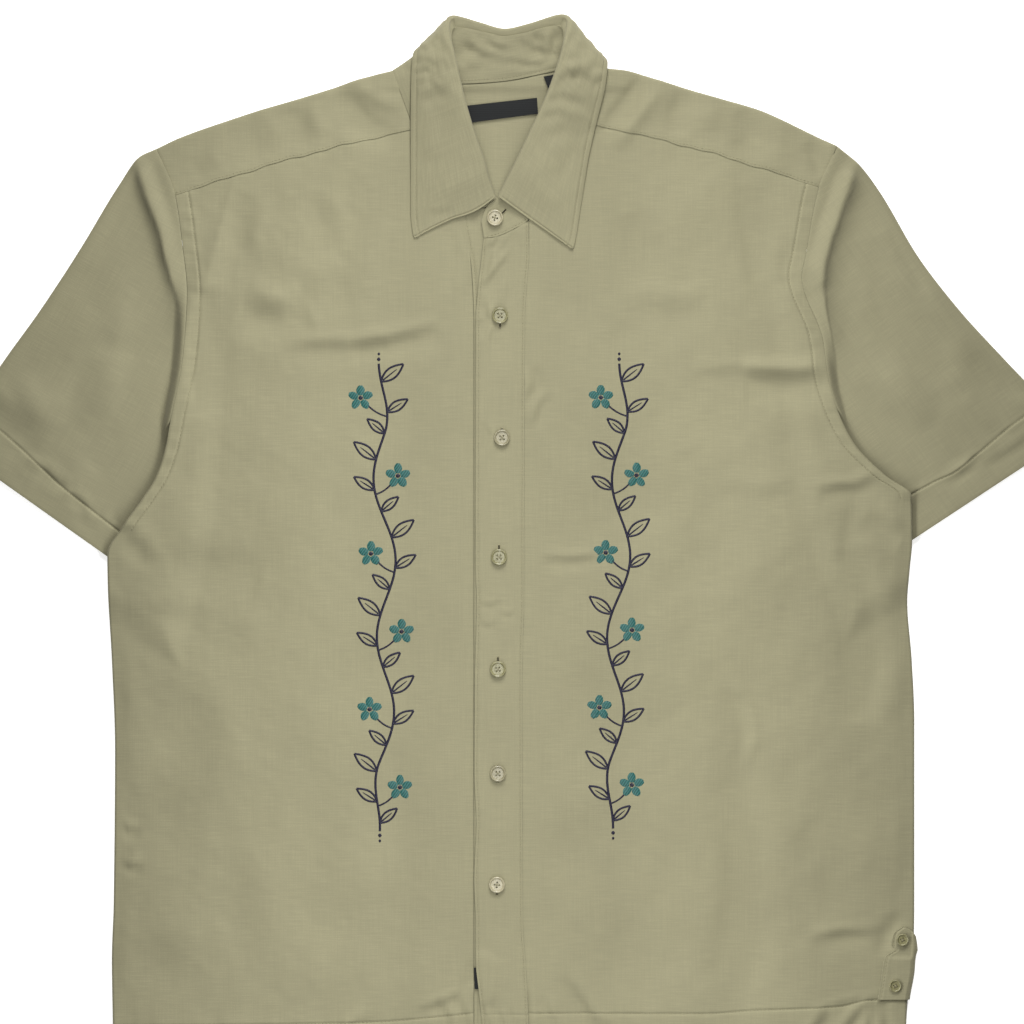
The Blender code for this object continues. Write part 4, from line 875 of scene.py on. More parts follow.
def seam_stitches(name, lines):
    """Runs of stitches lying in their grooves. Each line is a row of points on the cloth."""
    points, faces = [], []
    ring = [(math.cos(a), math.sin(a)) for a in (0, math.pi / 2, math.pi, 3 * math.pi / 2)]
    for line in lines:
        done = run_along(line)
        for start in np.arange(0.4, done[-1] - STITCH, STITCH_PITCH):
            low, high = (np.array([np.interp(s, done, line[:, k]) for k in range(3)])
                         for s in (start, start + STITCH))
            way = unit(high - low)
            side = unit(np.array([-way[1], way[0], 0.0]))
            up = np.cross(way, side)
            up *= 1 if up[2] >= 0 else -1
            first = len(points)
            points.append(low - up * THREAD * 0.3)
            for share in (0.22, 0.78):
                centre = low + (high - low) * share + up * THREAD * 0.35
                points += [centre + (side * c + up * s) * THREAD / 2 for c, s in ring]
            points.append(high - up * THREAD * 0.3)
            for k in range(4):
                a, b = first + 1 + k, first + 1 + (k + 1) % 4
                faces += [(first, b, a), (a, b, b + 4, a + 4), (first + 9, a + 4, b + 4)]
    thread_piece(name, (points, faces), sewing_thread, 180)


def tube_faces(faces, first, rings, size):
    """Adds the faces of a tube whose rings of points follow each other, closed at both ends."""
    for ring in range(rings - 1):
        for k in range(size):
            a, b = first + ring * size + k, first + ring * size + (k + 1) % size
            faces.append((a, b, b + size, a + size))
    end = first + (rings - 1) * size
    faces += [tuple(first + k for k in reversed(range(size))), tuple(end + k for k in range(size))]


def front_levels(rows, step):
    """The rows of a piece of the body, closer together: heights at its side and at its other edge."""
    outer, inner = [], []
    for (a, b), (c, d) in zip(rows, rows[1:]):
        count = max(1, int(round(max(c - a, d - b) / step)))
        outer += list(np.linspace(a, c, count, endpoint=False))
        inner += list(np.linspace(b, d, count, endpoint=False))
    outer, inner = np.array(outer + [rows[-1][0]]), np.array(inner + [rows[-1][1]])
    near = np.abs(outer - HEM_SEAM) > CLEAR_OF_LINE
    order = np.argsort(np.concatenate((outer[near], HEM_SEAM + BESIDE_LINE)))
    return [np.concatenate((side[near], HEM_SEAM + BESIDE_LINE))[order] for side in (outer, inner)]


def front(name, side, armhole, centre, rows, hem_line, seed):
    """A front, with the stitched line beside its armhole and the one above its hem."""
    outer_y, inner_y = front_levels(rows, 3.0)
    outer_x, inner_x = smooth(side + armhole, outer_y), smooth(centre, inner_y)
    reach = np.hypot(inner_x - outer_x, inner_y - outer_y)[:, None]
    turns = np.linspace(4, 90, 9)
    out, down = edge_turn(turns, armhole_curl(outer_y)[:, None])
    edge = out[:, :1]
    insets = spaced(1.2, 16, 1.6, [ARMHOLE_STITCH])
    near = edge + insets[-1]
    flats = near + (reach - near) * np.linspace(0, 1, 92)[1:]
    distance = np.concatenate((edge - out, edge + insets, flats), axis=1)
    x, y = (start[:, None] + (end - start)[:, None] / reach * distance
            for start, end in ((outer_x, inner_x), (outer_y, inner_y)))
    # the upper rows bow up to the yoke's seam, which sways a little, and the lowest follow the hem's line
    bowed = np.sin(math.pi * distance / reach)
    upper = inner_y[:, None]
    sway = seam_sway(x) * ease((upper - 290) / 22) * np.sqrt(np.clip(bowed, 0, 1))
    y = y + YOKE_SEAM_BOW * ease((upper - 240) / 72) * bowed + sway
    hem_at = smooth(hem_line, x)
    y = y + (hem_at - HEM_SEAM) * bump((y - HEM_SEAM) / 13)
    underarm = armhole[-1][0]
    beside = ease((outer_y - underarm + 6) / 10)[:, None]
    from_edge = distance - edge
    pucker = SEAM_PUCKER * rumple(outer_y, outer_y * 0.3, seed + 5, 5, 14, 12)[:, None]
    felled = groove(from_edge - ARMHOLE_STITCH, 0.42) + pucker * bump((from_edge - ARMHOLE_STITCH / 2) / 4.0)
    hem_pucker = HEM_PUCKER * rumple(x, x * 0.2, seed + 9, 7, 40, 14) * bump((y - hem_at) / 8)
    hem = groove(y - hem_at, 0.5) + 0.25 * ease((hem_at - y) / 3) + hem_pucker
    # at the side seam the layers meet, and beside the armhole the seam stands up a little
    settled = 1 - (1 - beside) * (1 - ease(distance / 16))
    standing = ARMHOLE_RISE * bump(from_edge / 11)
    z = body_top(x, y) + relief(x, y) * settled + (standing + felled) * beside + hem
    z[:, :len(turns)] -= down
    stitched = len(turns) + nearest(insets, ARMHOLE_STITCH)
    armhole_line = one_column(x, y, z, stitched)[outer_y > underarm - 4]
    hem_row = nearest(outer_y, HEM_SEAM)
    hem_line = np.stack([x[hem_row], y[hem_row], z[hem_row]], axis=1)[len(turns):]
    way = 1 if side[0][1] < 0 else -1
    cloth(name + "_panel", x[:, ::way], y[:, ::way], z[:, ::way], name)
    return armhole_line, hem_line


def back():
    """The back below the yoke, its outside on the table."""
    right_y, left_y = front_levels(BACK_ROWS, 7.0)
    right_x = smooth(SIDE_RIGHT + ARMHOLE_RIGHT, right_y)
    left_x = smooth(SIDE_LEFT + ARMHOLE_LEFT, left_y)
    reach = np.hypot(left_x - right_x, left_y - right_y)[:, None]
    (out, up), (left_out, left_up) = (edge_turn(np.linspace(4, 90, 6), armhole_curl(side)[:, None])
                                      for side in (right_y, left_y))
    middle = 2 + (reach - 4) * np.linspace(0, 1, 74)[1:-1]
    far_side = (reach - left_out[:, :1] + left_out)[:, ::-1]
    distance = np.concatenate((out[:, :1] - out, middle, far_side), axis=1)
    x, y = (start[:, None] + (end - start)[:, None] / reach * distance
            for start, end in ((right_x, left_x), (right_y, left_y)))
    y[-1] -= SEAM
    z = base(x, y) + np.concatenate((up, np.zeros_like(middle), left_up[:, ::-1]), axis=1)
    cloth("back_panel", x[:, ::-1], y[:, ::-1], z[:, ::-1], "back")


def yoke():
    """The yoke: over both shoulders from the front seams to the seam across the back, round the neck."""
    steps = np.linspace(0, 1, 74)
    fronts = spaced(0, 0.94, 0.055)[:, None, None]
    turns = np.linspace(90, -90, 11)
    out, down = (turn[:, None] for turn in edge_turn(turns, 1.0))
    upper, roll = slice(0, len(fronts)), slice(len(fronts), len(fronts) + len(turns))

    def back_seam(across):
        """The points of the back seam at some places across it."""
        return np.stack([across, np.interp(across, *zip(BACK_SEAM_RIGHT, BACK_SEAM_LEFT))], axis=1)

    def lower_layer(start, end):
        """Places on the table from the fold or the neck down to the back seam, closer near their start."""
        reach = np.linalg.norm(end - start, axis=1)
        close = np.repeat(np.array((1.5, 3, 5, 7, 9))[:, None], len(reach), axis=1)
        far = 12 + (reach - 12) * (np.arange(23) / 22)[:, None]
        drops = np.concatenate((close, far))
        return start + (end - start) * (drops / reach)[..., None]

    parts = []
    for table, armhole, centre, corner in ((SHOULDER_RIGHT, ARMHOLE_RIGHT, CENTRE_RIGHT, BACK_SEAM_RIGHT),
                                           (SHOULDER_LEFT, ARMHOLE_LEFT, CENTRE_LEFT, BACK_SEAM_LEFT)):
        outer_fold, inner_fold = (table[0][0], table[-1][0]) if corner[0] < 0 else (table[-1][0], table[0][0])
        fold_x = outer_fold + (inner_fold - outer_fold) * steps
        fold = np.stack([fold_x, smooth(table, fold_x)], axis=1)
        outer, inner = np.array(armhole[1][::-1], dtype=float), np.array(centre[-1][::-1], dtype=float)
        seam = outer + (inner - outer) * steps[:, None]
        bowed = np.clip(np.sin(math.pi * steps), 0, 1)
        seam[:, 1] += YOKE_SEAM_BOW * bowed + SEAM + seam_sway(seam[:, 0]) * np.sqrt(bowed)
        seam[0, 0] = smooth(armhole, seam[0, 1])
        end = back_seam(corner[0] + (inner_fold - corner[0]) * steps)
        to_seam = seam - fold
        reach = np.linalg.norm(to_seam, axis=1, keepdims=True)
        foot = fold + to_seam * (BODY / 2) / reach
        rolled = fold + to_seam / reach * (BODY / 2 - out[..., None])
        grid = np.concatenate((seam + (foot - seam) * fronts, rolled,
                               lower_layer(fold + unit(end - fold) * BODY / 2, end)))
        height = base(grid[..., 0], grid[..., 1])
        height[roll] = base(fold[:, 0], fold[:, 1]) + BODY - down
        parts.append((grid, height))
    neck_x = np.linspace(BACK_NECK[0][0], BACK_NECK[-1][0], 58)[1:-1]
    start = np.stack([neck_x, smooth(BACK_NECK, neck_x)], axis=1)
    grid = np.concatenate((np.repeat(start[None], roll.stop, axis=0), lower_layer(start, back_seam(neck_x))))
    parts = [parts[0], (grid, base(grid[..., 0], grid[..., 1])), [part[:, ::-1] for part in parts[1]]]
    grid, z = (np.concatenate(part, axis=1) for part in zip(*parts))
    x, y = grid[..., 0], grid[..., 1]
    from_seam = np.hypot(x[upper] - x[0], y[upper] - y[0])
    sewn = groove(from_seam - YOKE_LINE, 0.22) + YOKE_EDGE * bump(from_seam / 7)
    z[upper] = laid_top(x[upper], y[upper]) + sewn
    # the roll over the shoulder takes its creases on from the last of those rows
    last = upper.stop - 1
    fading = np.cos(np.linspace(0, math.pi / 2, len(turns)))[:, None]
    z[roll] += (z[last] - body_top(x[last], y[last])) * fading
    sides = slice(0, len(steps)), slice(len(steps) + len(neck_x), None)
    keep = np.ones((len(x) - 1, x.shape[1] - 1), dtype=bool)
    keep[:roll.stop - 1, sides[0].stop - 1:sides[1].start] = False
    cloth("yoke_panel", x, y, z, "yoke", keep=keep)
    stitches = []
    for part in sides:
        across, up = x[0, part], y[0, part] + YOKE_LINE
        stitches.append(np.stack([across, up, laid_top(across, up) + YOKE_EDGE - 0.24], axis=1))
    return stitches


def sleeve(name, armhole, shared, tucked, hem, cap, covered, valley, cuff_depths):
    """A sleeve laid flat, with the valley beside its armhole and the stitched line above its hem."""
    outward = math.copysign(1, armhole[0][1])
    side, back_corner = (SIDE_RIGHT, BACK_SEAM_RIGHT) if outward < 0 else (SIDE_LEFT, BACK_SEAM_LEFT)
    shared_y = np.linspace(armhole[0][0], armhole[shared - 1][0], 70)
    seam = np.stack([smooth(side + armhole, shared_y), shared_y], axis=1)
    foot = [seam[-1]] + [(across, up) for up, across in tucked]
    seam = np.concatenate((seam, through(foot, np.linspace(0, len(foot) - 1, 22)[1:])))
    way = np.gradient(seam, axis=0)
    normal = unit(np.stack([-way[:, 1], way[:, 0]], axis=1))
    seam = seam + normal * np.sign(normal[:, :1] * outward) * SEAM
    done = run_along(seam)
    down = done / done[-1]
    cap, hem = np.array(cap, dtype=float), np.array(hem, dtype=float)
    cap_done = run_along(cap)
    whole = float(np.mean(np.linalg.norm(hem - seam[[0, -1]], axis=1)))
    along = np.concatenate((spaced(0, 46, 1.4), spaced(49, whole, 3.1, [whole - CUFF_USUAL]))) / whole
    cuff = 1 - CUFF_USUAL / whole
    hem_way = unit(hem[1] - hem[0])
    depth = smooth(cuff_depths, down)

    def shares_of(start):
        """Each row's shares of the way to the hem, stretched so that its stitched line lies right; and the
        row's distance from the hem."""
        away = np.abs((start[:, :1] - hem[0][0]) * hem_way[1] - (start[:, 1:] - hem[0][1]) * hem_way[0])
        stitched_at = 1 - depth[:, None] / away
        outer = stitched_at + (along - cuff) * (1 - stitched_at) / (1 - cuff)
        return np.where(along < cuff, along * stitched_at / cuff, outer), away

    def patch(start):
        """Places of the flat sleeve from its seam's points, by shares of the way to the hem."""
        ends = hem[0] + (hem[1] - hem[0]) * down[:, None]
        share = shares_of(start)[0][:, :, None]
        flat = start[:, None, :] * (1 - share) + ends[:, None, :] * share
        reach = share[..., 0] * cap_done[-1]
        fold_line = np.stack([smooth(list(zip(cap_done, cap[:, k])), reach) for k in range(2)], axis=-1)
        bulge = fold_line - (cap[0] + (hem[0] - cap[0]) * share)
        return flat + bulge * (1 - down)[:, None, None]

    layer = patch(seam)
    fold = layer[0]
    # a row just under the fold gives the way in, and the upper layer starts where the roll has ended
    inward = unit(layer[6] - fold)
    clear = np.einsum("ijk,jk->ij", layer - fold, inward)
    first = int(np.argmax(clear.min(axis=1) > BODY / 2 + 0.6))
    x, y, settling = layer[first:, :, 0], layer[first:, :, 1], ease(clear[first:] / 14)
    # its corner lies low under the body, and beside the armhole a strip stands up and the cloth drops off it
    corner = ease((SINK_REACH - beyond(x, y, covered)) / SINK_RUN)
    side_of, along_valley = off_line(x, y, valley)
    side_of = side_of * outward
    tapered = ease(np.minimum(along_valley * 9 + 0.45, (1 - along_valley) * 5))
    strip_up, valley_soft, seam_fall = SLEEVE_FALL[name]
    strip = strip_up * ease((side_of + 15) / 14)
    side_of = np.maximum(side_of, 0)
    step = VALLEY_STEP * ease(side_of / 1.6) + VALLEY_DEPTH * (1 - np.exp(-side_of / valley_soft))
    risen = (VALLEY_STEP + VALLEY_DEPTH - strip_up) * ease((side_of - 16) / 64)
    laid = not_below(relief(x, y) + tapered * (strip - step + risen), SLEEVE_DEEPEST)
    z = BODY - (BODY - TUCKED) * corner + (1 - corner) * laid * settling
    # beside the seam the sleeve starts at the height of the body's edge that it is sewn to, and where the
    # seam turns in under the front it starts just below the front's cloth
    seam_x, seam_y = seam[first:, 0], seam[first:, 1]
    past_edge = armhole[shared - 1][0] - seam_y
    edge = laid_top(seam_x, seam_y) + ARMHOLE_RISE - edge_turn(4, armhole_curl(seam_y))[1] - z[:, 0]
    edge = edge - UNDER_FRONT * ease((past_edge + 3) / 6)
    edge = edge * settling[:, 0] * (1 - ease(past_edge / SEWN_FADE))
    z = z + edge[:, None] * (1 - ease(np.hypot(x - x[:, :1], y - y[:, :1]) / seam_fall))
    # the hem's stitched line draws the cloth down and puckers it
    share, away = (part[first:] for part in shares_of(seam))
    from_cuff = away * (share - 1) + depth[first:, None]
    pucker = CUFF_PUCKER * rumple(x, y, 67, 6, 34, 14) * bump((from_cuff + 1) / 7)
    z = z + groove(from_cuff, 0.5) + 0.1 * ease(from_cuff / 3) + pucker
    # the roll at the fold, and the lower layer, whose seam runs straight to the back's corner
    out, low = (turn[:, None] for turn in edge_turn(np.linspace(90, -90, 11)[1:-1], 1.0))
    rolled = fold + inward * (BODY / 2 - out[..., None])
    fading = np.cos(math.pi / 2 * np.arange(1, len(out) + 1) / len(out))[:, None]
    back_station = nearest(seam[:, 1], back_corner[1])
    lower_seam = seam.copy()
    run = done[:back_station + 1, None] / done[back_station]
    lower_seam[:back_station + 1] = seam[0] + (seam[back_station] - seam[0]) * run
    lower = patch(lower_seam)[first::4]
    line = one_column(x[::-1], y[::-1], z[::-1], nearest(along, cuff))
    z = np.concatenate((z[::-1], BODY - low + (z[0] - BODY) * fading, np.zeros(lower.shape[:2])))
    grid = np.concatenate((layer[first:][::-1], rolled, lower))
    x, y = grid[..., 0], grid[..., 1]
    axis = unit(hem.mean(axis=0) - seam[len(seam) // 3])
    way = int(outward)
    grain = [g[:, ::way] for g in (y * axis[0] - x * axis[1], x * axis[0] + y * axis[1])]
    cloth(name + "_cloth", x[:, ::way], y[:, ::way], z[:, ::way], name, uv=grain)
    return line


def band(rows_y, left, right, shares, top, rows_above):
    """Places of a band between two edges up the front, drawn on to its top edge in a few rows."""
    x = left[:, None] + (right - left)[:, None] * shares
    y = np.repeat(rows_y[:, None], len(shares), axis=1)
    top = through(top, shares * (len(top) - 1))
    rise = np.linspace(0, 1, rows_above + 1)[1:, None]
    return (np.concatenate((part, part[-1] + (top[:, k] - part[-1]) * rise)) for k, part in enumerate((x, y)))


def placket():
    """The placket on the left front, stitched close to both edges, with a buttonhole for each button."""
    rows_y = spaced(HEM, 215, 2.6, [HEM_SEAM])
    across = spaced(0, PLACKET_WIDTH, 1.3, PLACKET_LINES)
    x, y = band(rows_y, smooth(PLACKET_EDGE, rows_y), smooth(CENTRE_LEFT, rows_y) - SEAM,
                across / PLACKET_WIDTH, PLACKET_TOP, 7)
    away = np.hypot(x - CARE_TAG_MIDDLE[0], np.maximum(np.abs(y - CARE_TAG_MIDDLE[1]) - 8, 0))
    lift = TAG_LIFT * ease((16 - away) / 8)
    uneven = creases(x, y, PLACKET_CREASES, 1.5, 2.5) + 0.16 * rumple(x, y, 71, 12, 70)
    pucker = 0.1 * rumple(y, y * 0.2, 77, 4, 12, 12) * bump((across - 1.5) / 2.5)
    sewn = groove(y - HEM_SEAM, 0.2) + sum(groove(across - line, 0.26) for line in PLACKET_LINES)
    z = LAP + PLACKET_UP + lift + np.maximum(uneven, -PLACKET_UP - 0.2) + sewn + pucker
    cloth("placket_band", x, y, z, "placket")
    return [one_column(x, y, z, nearest(across, line)) for line in PLACKET_LINES]


def button_stand():
    """The band on the right front that the buttons are sewn to, under the placket."""
    rows_y = spaced(HEM, 210, 4)
    across = spaced(0, STAND_WIDTH, 2.4, [STAND_LINE])
    x, y = band(rows_y, smooth(CENTRE_RIGHT, rows_y) + GAP, np.full(len(rows_y), STAND_EDGE),
                across / STAND_WIDTH, STAND_TOP, 9)
    sag = 0.5 * ease((y - 90) / 60) * bump((x + 27) / 5) + bump((x + 31) / 3.4)
    z = BODY - sag + groove(across - STAND_LINE, 0.25)
    cloth("button_stand_band", x, y, z, "button_stand")
    line = one_column(x, y, z, nearest(across, STAND_LINE))
    return line[line[:, 1] > 60]


def collar_stand():
    """The collar's stand, from the neck seam up to where the fall is sewn on."""
    steps = np.linspace(0, len(STAND) - 1, 230)
    low, high = (through([row[k] for row in STAND], steps) for k in range(2))
    across = spaced(0, COLLAR_STAND_HEIGHT, 1.7, [COLLAR_STAND_LINE])
    shares = across / COLLAR_STAND_HEIGHT
    grid = low[:, None] + (high - low)[:, None] * shares[None, :, None]
    x, y, z = grid[..., 0], grid[..., 1], grid[..., 2]
    wrinkled = creases(x, y, STAND_CREASES, 2.6, 2.2) + rumple(x, y, 52, 8, 36, 26)
    done = run_along(low)
    from_end = (done[-1] - done)[:, None]
    behind = wrinkled * ease((1 - shares) / 0.2) + groove(across - COLLAR_STAND_LINE, 0.3)
    z = z + ease((y - 350) / 12) * behind
    z = z + groove(from_end - 2.2, 0.3) * (from_end < 6) + 0.3 * ease((2.0 - from_end) / 1.5)
    grain = [np.broadcast_to(done[:, None], x.shape), np.broadcast_to(across, x.shape)]
    cloth("collar_stand_band", x, y, z, "collar_stand", wall=COLLAR_CLOTH, offset=0.0, uv=grain)
    line = one_column(x, y, z, nearest(across, COLLAR_STAND_LINE), COLLAR_FACE)
    return [line[steps > 31], line[(steps > 14) & (steps < 22)]]


def collar_fall():
    """The collar's fall: up inside from the stand, over the fold and down outside to its stitched edge."""
    last = len(FALL) - 1
    ends = np.array([0, 0.03, 0.07, 0.11, 0.14, 0.17, 0.21, 0.27])
    # rows of the table, and places between them: closer together near both points of the collar
    steps = np.concatenate((ends, np.linspace(0.33, last - 0.33, 170), last - ends[::-1]))
    fold, edge = (through([row[k] for row in FALL], steps) for k in range(2))
    facing, strip = (through([(row[k],) for row in FALL], steps) for k in (2, 3))
    facing, strip = np.radians(facing), np.clip(strip, 0, 1)
    facing_up = np.maximum(np.sin(facing), 0)
    sway_in, sway_out = (np.interp(steps, range(len(table) + 1), table + (0,))[:, None]
                         for table in (FALL_SWAY_IN, FALL_SWAY_OUT))
    # the way the outside faces, and the way from the edge up to the fold
    level = unit((fold - np.array(COLLAR_MIDDLE)) * np.array((1, 1, 0)))
    outside = level * np.cos(facing) + np.sin(facing) * np.array((0, 0, 1))
    away = fold - edge
    away = unit(away - outside * np.sum(away * outside, axis=1, keepdims=True))
    from_end = (np.minimum(steps, last - steps) * FALL_ROW)[:, None]
    from_point = np.clip(1 - from_end / COLLAR_CORNER, 0, 1)
    edge = edge + away * COLLAR_CORNER * (1 - np.sqrt(1 - from_point ** 2))
    pressed = ease(1 - from_end / COLLAR_PRESS)
    roll = COLLAR_ROLL + (COLLAR_PRESSED - COLLAR_ROLL) * pressed
    centre = fold - away * COLLAR_ROLL / 2
    # the strip inside the fold runs down to the stand's top edge
    rim = through([row[1] for row in STAND], np.linspace(0, len(STAND) - 1, 500))
    rim = rim[np.argmin(np.linalg.norm(centre[:, None] - rim[None], axis=2), axis=1)]
    behind = ease(-np.sin(facing) * 1.4)
    seam = rim + (centre - rim) * (0.06 - 0.3 * behind) - np.array((0, 0, 1.0)) * behind
    columns = [np.where(strip > 0.98, seam, centre - away * 0.5 * strip)]
    for angle in np.radians(np.linspace(-90, 90, 11)):
        columns.append(centre + away * COLLAR_ROLL / 2 * math.cos(angle)
                       + outside * roll / 2 * (1 + math.sin(angle)))
    start = centre + outside * roll
    reach = np.linalg.norm(edge - start, axis=1, keepdims=True)
    near = spaced(FALL_EDGE, 0, 1.1, [FALL_LINE])[1:]
    distances = [reach - (reach - FALL_EDGE) * share for share in np.linspace(0, 1, 20)[1:]] + list(near)
    for distance in distances:
        value = 1 - distance / reach
        point = start + (edge - start) * value
        x, y = point[:, :1], point[:, 1:2]
        crown = FALL_CROWN * np.sin(math.pi * value) * facing_up * (1 - pressed)
        bent = np.where(value < 0.5, sway_in, sway_out) * np.sin(2 * math.pi * value)
        sewn = groove(from_end - 2.3, 0.4) * (from_end < 6.8) + groove(distance - FALL_LINE, 0.26)
        soft = 0.45 * rumple(x, y, 41, 10, 90) * ease(distance / 6) * (1 - 0.7 * pressed)
        mottled = 0.9 * rumple(x, y, 43, 6, 26, 16) * ease((y - 325) / 30) * ease(distance / 8)
        lift = crown - COLLAR_SAG * pressed * value * (1 - value) + sewn + soft + mottled
        lift = lift + creases(x, y, FALL_CREASES, 1.5, 1.7) * facing_up
        columns.append(point + outside * lift + np.cross(away, outside) * bent)
    grid = np.stack(columns, axis=1)
    grain = np.meshgrid(run_along(edge), run_along(grid[len(steps) // 4]), indexing="ij")
    cloth("collar_fall_leaf", *np.moveaxis(grid, 2, 0), "collar_fall", wall=COLLAR_CLOTH, offset=0.0,
          uv=grain)
    # the stitched line runs along both leaves' edges and up their ends
    stitched = len(columns) - len(near) + nearest(near, FALL_LINE)
    grid = grid + (outside * COLLAR_FACE)[:, None]
    shown = np.sin(facing[:, 0]) > 0.3
    half_way, near_end = len(steps) // 2, len(steps) - 4
    lines = [grid[part, stitched][shown[part]] for part in (slice(4, half_way), slice(half_way, near_end))]
    return lines + [grid[row, 12:stitched + 1] for row in (4, near_end - 1)]


def vent_tab():
    """The tab that closes the side vent: it comes round the side seam and lies on the front."""
    rows_y = spaced(VENT_TAB_ROWS[0][0], VENT_TAB_ROWS[-1][0], 1.1)
    inner, off = (smooth([(row[0], row[k]) for row in VENT_TAB_ROWS], rows_y) for k in (1, 2))
    middle_x = smooth(SIDE_LEFT, rows_y) - BODY / 2
    reach = BODY / 2 + GAP + 1.2
    columns = []
    for share in np.linspace(0, 1, 20):
        from_edge = (middle_x - inner) * share
        x = inner + from_edge
        # its lower half lies a step higher, and the outer side of its upper half lower
        step = 0.55 * ease((-rows_y - 331) / 3) - 0.5 * ease((rows_y + 334) / 3) * ease((x - 292) / 6)
        z = LAP + step + 0.12 * rumple(x, rows_y, 88, 6, 26) + groove(from_edge - VENT_TAB_LINE, 0.3)
        columns.append(np.stack([x, rows_y, z], axis=1))
    for turn in np.radians(np.linspace(90, 0, 9)[1:]):
        round_x, z = middle_x + (reach + off) * math.cos(turn), BODY / 2 + reach * math.sin(turn)
        columns.append(np.stack([round_x, rows_y, np.full(len(rows_y), z)], axis=1))
    grid = np.stack(columns, axis=1)
    # the top is rounded: places right of its middle come down with their distance from it
    rounded = VENT_TAB_ROUND * np.clip((grid[..., 0] - 305) / 9, 0, 1.2) ** 2
    grid[..., 1] -= rounded * ease((grid[..., 1] + 335) / 24)
    cloth("vent_tab_cloth", *np.moveaxis(grid, 2, 0), "vent_tab")
    return grid[2:-2, 2] + np.array((0, 0, -0.05))


def label(name, cad_node, corners, low):
    """A woven label: slightly bowed, its face bare."""
    corners = np.array(corners, dtype=float)
    u, v = (share[..., None] for share in np.meshgrid(np.linspace(0, 1, 25), np.linspace(0, 1, 9)))
    below, above = (a + (b - a) * u for a, b in (corners[:2], corners[:1:-1]))
    x, y = np.moveaxis(below + (above - below) * v, 2, 0)
    bowed = 0.25 * np.sin(math.pi * v) * np.sin(math.pi * u)
    z = low(x, y) + LABEL_TAPE + bowed[..., 0] + 0.05 * rumple(x, y, 12, 8, 30)
    piece = grid_piece(name, x, y, z, label_tape)
    walled(piece, LABEL_TAPE, -1.0, 0, 50)
    finished(piece, cad_node)


def turned_button(diameter):
    """A four-hole button: a dished disc with a rounded rim, modelled once for each size."""
    depth = BUTTON_THICK * diameter / BUTTON_DIAMETER * MM
    radius = diameter / 2 * MM
    bpy.ops.object.select_all(action="DESELECT")
    bpy.ops.mesh.primitive_cylinder_add(vertices=48, radius=radius, depth=depth, location=(0, 0, depth / 2))
    piece = bpy.context.object
    bpy.ops.object.transform_apply(location=True, rotation=True, scale=True)
    bpy.ops.object.mode_set(mode="EDIT")
    shape = bmesh.from_edit_mesh(piece.data)
    for face in shape.faces:
        face.select = face.normal.z > 0.9
    bmesh.update_edit_mesh(piece.data)
    for inset, sink in ((0.2, 0), (0.1, 0.34), (0.22, 0.05)):
        bpy.ops.mesh.inset(thickness=radius * inset)
        bpy.ops.transform.translate(value=(0, 0, -depth * sink))
    bpy.ops.mesh.select_all(action="DESELECT")
    shape = bmesh.from_edit_mesh(piece.data)
    for edge in shape.edges:
        ends = [math.hypot(c.co.x, c.co.y) for c in edge.verts]
        level = abs(edge.verts[0].co.z - edge.verts[1].co.z) < 1e-6
        lip = all(abs(end - radius * 0.8) < 1e-5 for end in ends)
        edge.select = level and (lip or min(ends) > radius * 0.97)
    bmesh.update_edit_mesh(piece.data)
    bpy.ops.mesh.bevel(offset=radius * 0.11, segments=3)
    bpy.ops.object.mode_set(mode="OBJECT")
    drills = []
    apart = diameter * BUTTON_HOLE_OFF * MM
    for across, up in ((-1, -1), (-1, 1), (1, -1), (1, 1)):
        bpy.ops.object.select_all(action="DESELECT")
        bpy.ops.mesh.primitive_cylinder_add(vertices=16, radius=diameter * 0.06 * MM, depth=3 * depth,
                                            location=(across * apart, up * apart, 0))
        drills.append(bpy.context.object)
    select_only(*drills)
    bpy.ops.object.join()
    drill = bpy.context.object
    bpy.ops.object.transform_apply(location=True, rotation=True, scale=True)
    holes = piece.modifiers.new("Holes", "BOOLEAN")
    holes.object = drill
    select_only(piece)
    bpy.ops.object.modifier_apply(modifier="Holes")
    bpy.ops.object.shade_smooth_by_angle(angle=math.radians(35))
    bpy.data.objects.remove(drill, do_unlink=True)
    return piece


def sewn_button(name, pattern, spot, turn, cad_node, resin):
    """A copy of a button at its place."""
    mesh = pattern.data.copy()
    mesh.name = name
    mesh.materials.clear()
    mesh.materials.append(resin)
    piece = linked(name, mesh)
    piece.location = Vector((*spot, LAP + GAP)) * MM
    piece.rotation_euler = (0, 0, turn)
    bpy.ops.object.transform_apply(location=True, rotation=True, scale=True)
    finished(piece, cad_node)


def add_thread(work, line, thick, sides=6):
    """Adds a round thread along some points to a mesh in the making."""
    points, faces = work
    line = np.asarray(line, dtype=float)
    tube_faces(faces, len(points), len(line), sides)
    ways = unit(np.gradient(line, axis=0))
    across = unit(np.cross((0, 0, 1), ways))
    for place, side, up in zip(line, across, np.cross(ways, across)):
        for angle in np.arange(sides) * 2 * math.pi / sides:
            points.append(place + (side * math.cos(angle) + up * math.sin(angle)) * thick / 2)


def button_threads(name, buttons):
    """Two crossed bars of thread on each button. Each row has its place, turn and diameter."""
    work = ([], [])
    for spot, turn, diameter in buttons:
        middle = np.array((*spot, LAP + GAP + BUTTON_THICK * diameter / BUTTON_DIAMETER * 0.62 + 0.12))
        for bar in (turn + math.pi / 4, turn + 3 * math.pi / 4):
            way = np.array((math.cos(bar), math.sin(bar), 0.0))
            reach = way * diameter * BUTTON_HOLE_OFF * math.sqrt(2)
            for aside in (-0.16, 0.16):
                shifted = middle + np.array((-way[1], way[0], 0.0)) * aside
                add_thread(work, (shifted - reach, shifted + np.array((0, 0, 0.25)), shifted + reach), 0.3)
    thread_piece(name, work, sewing_thread)


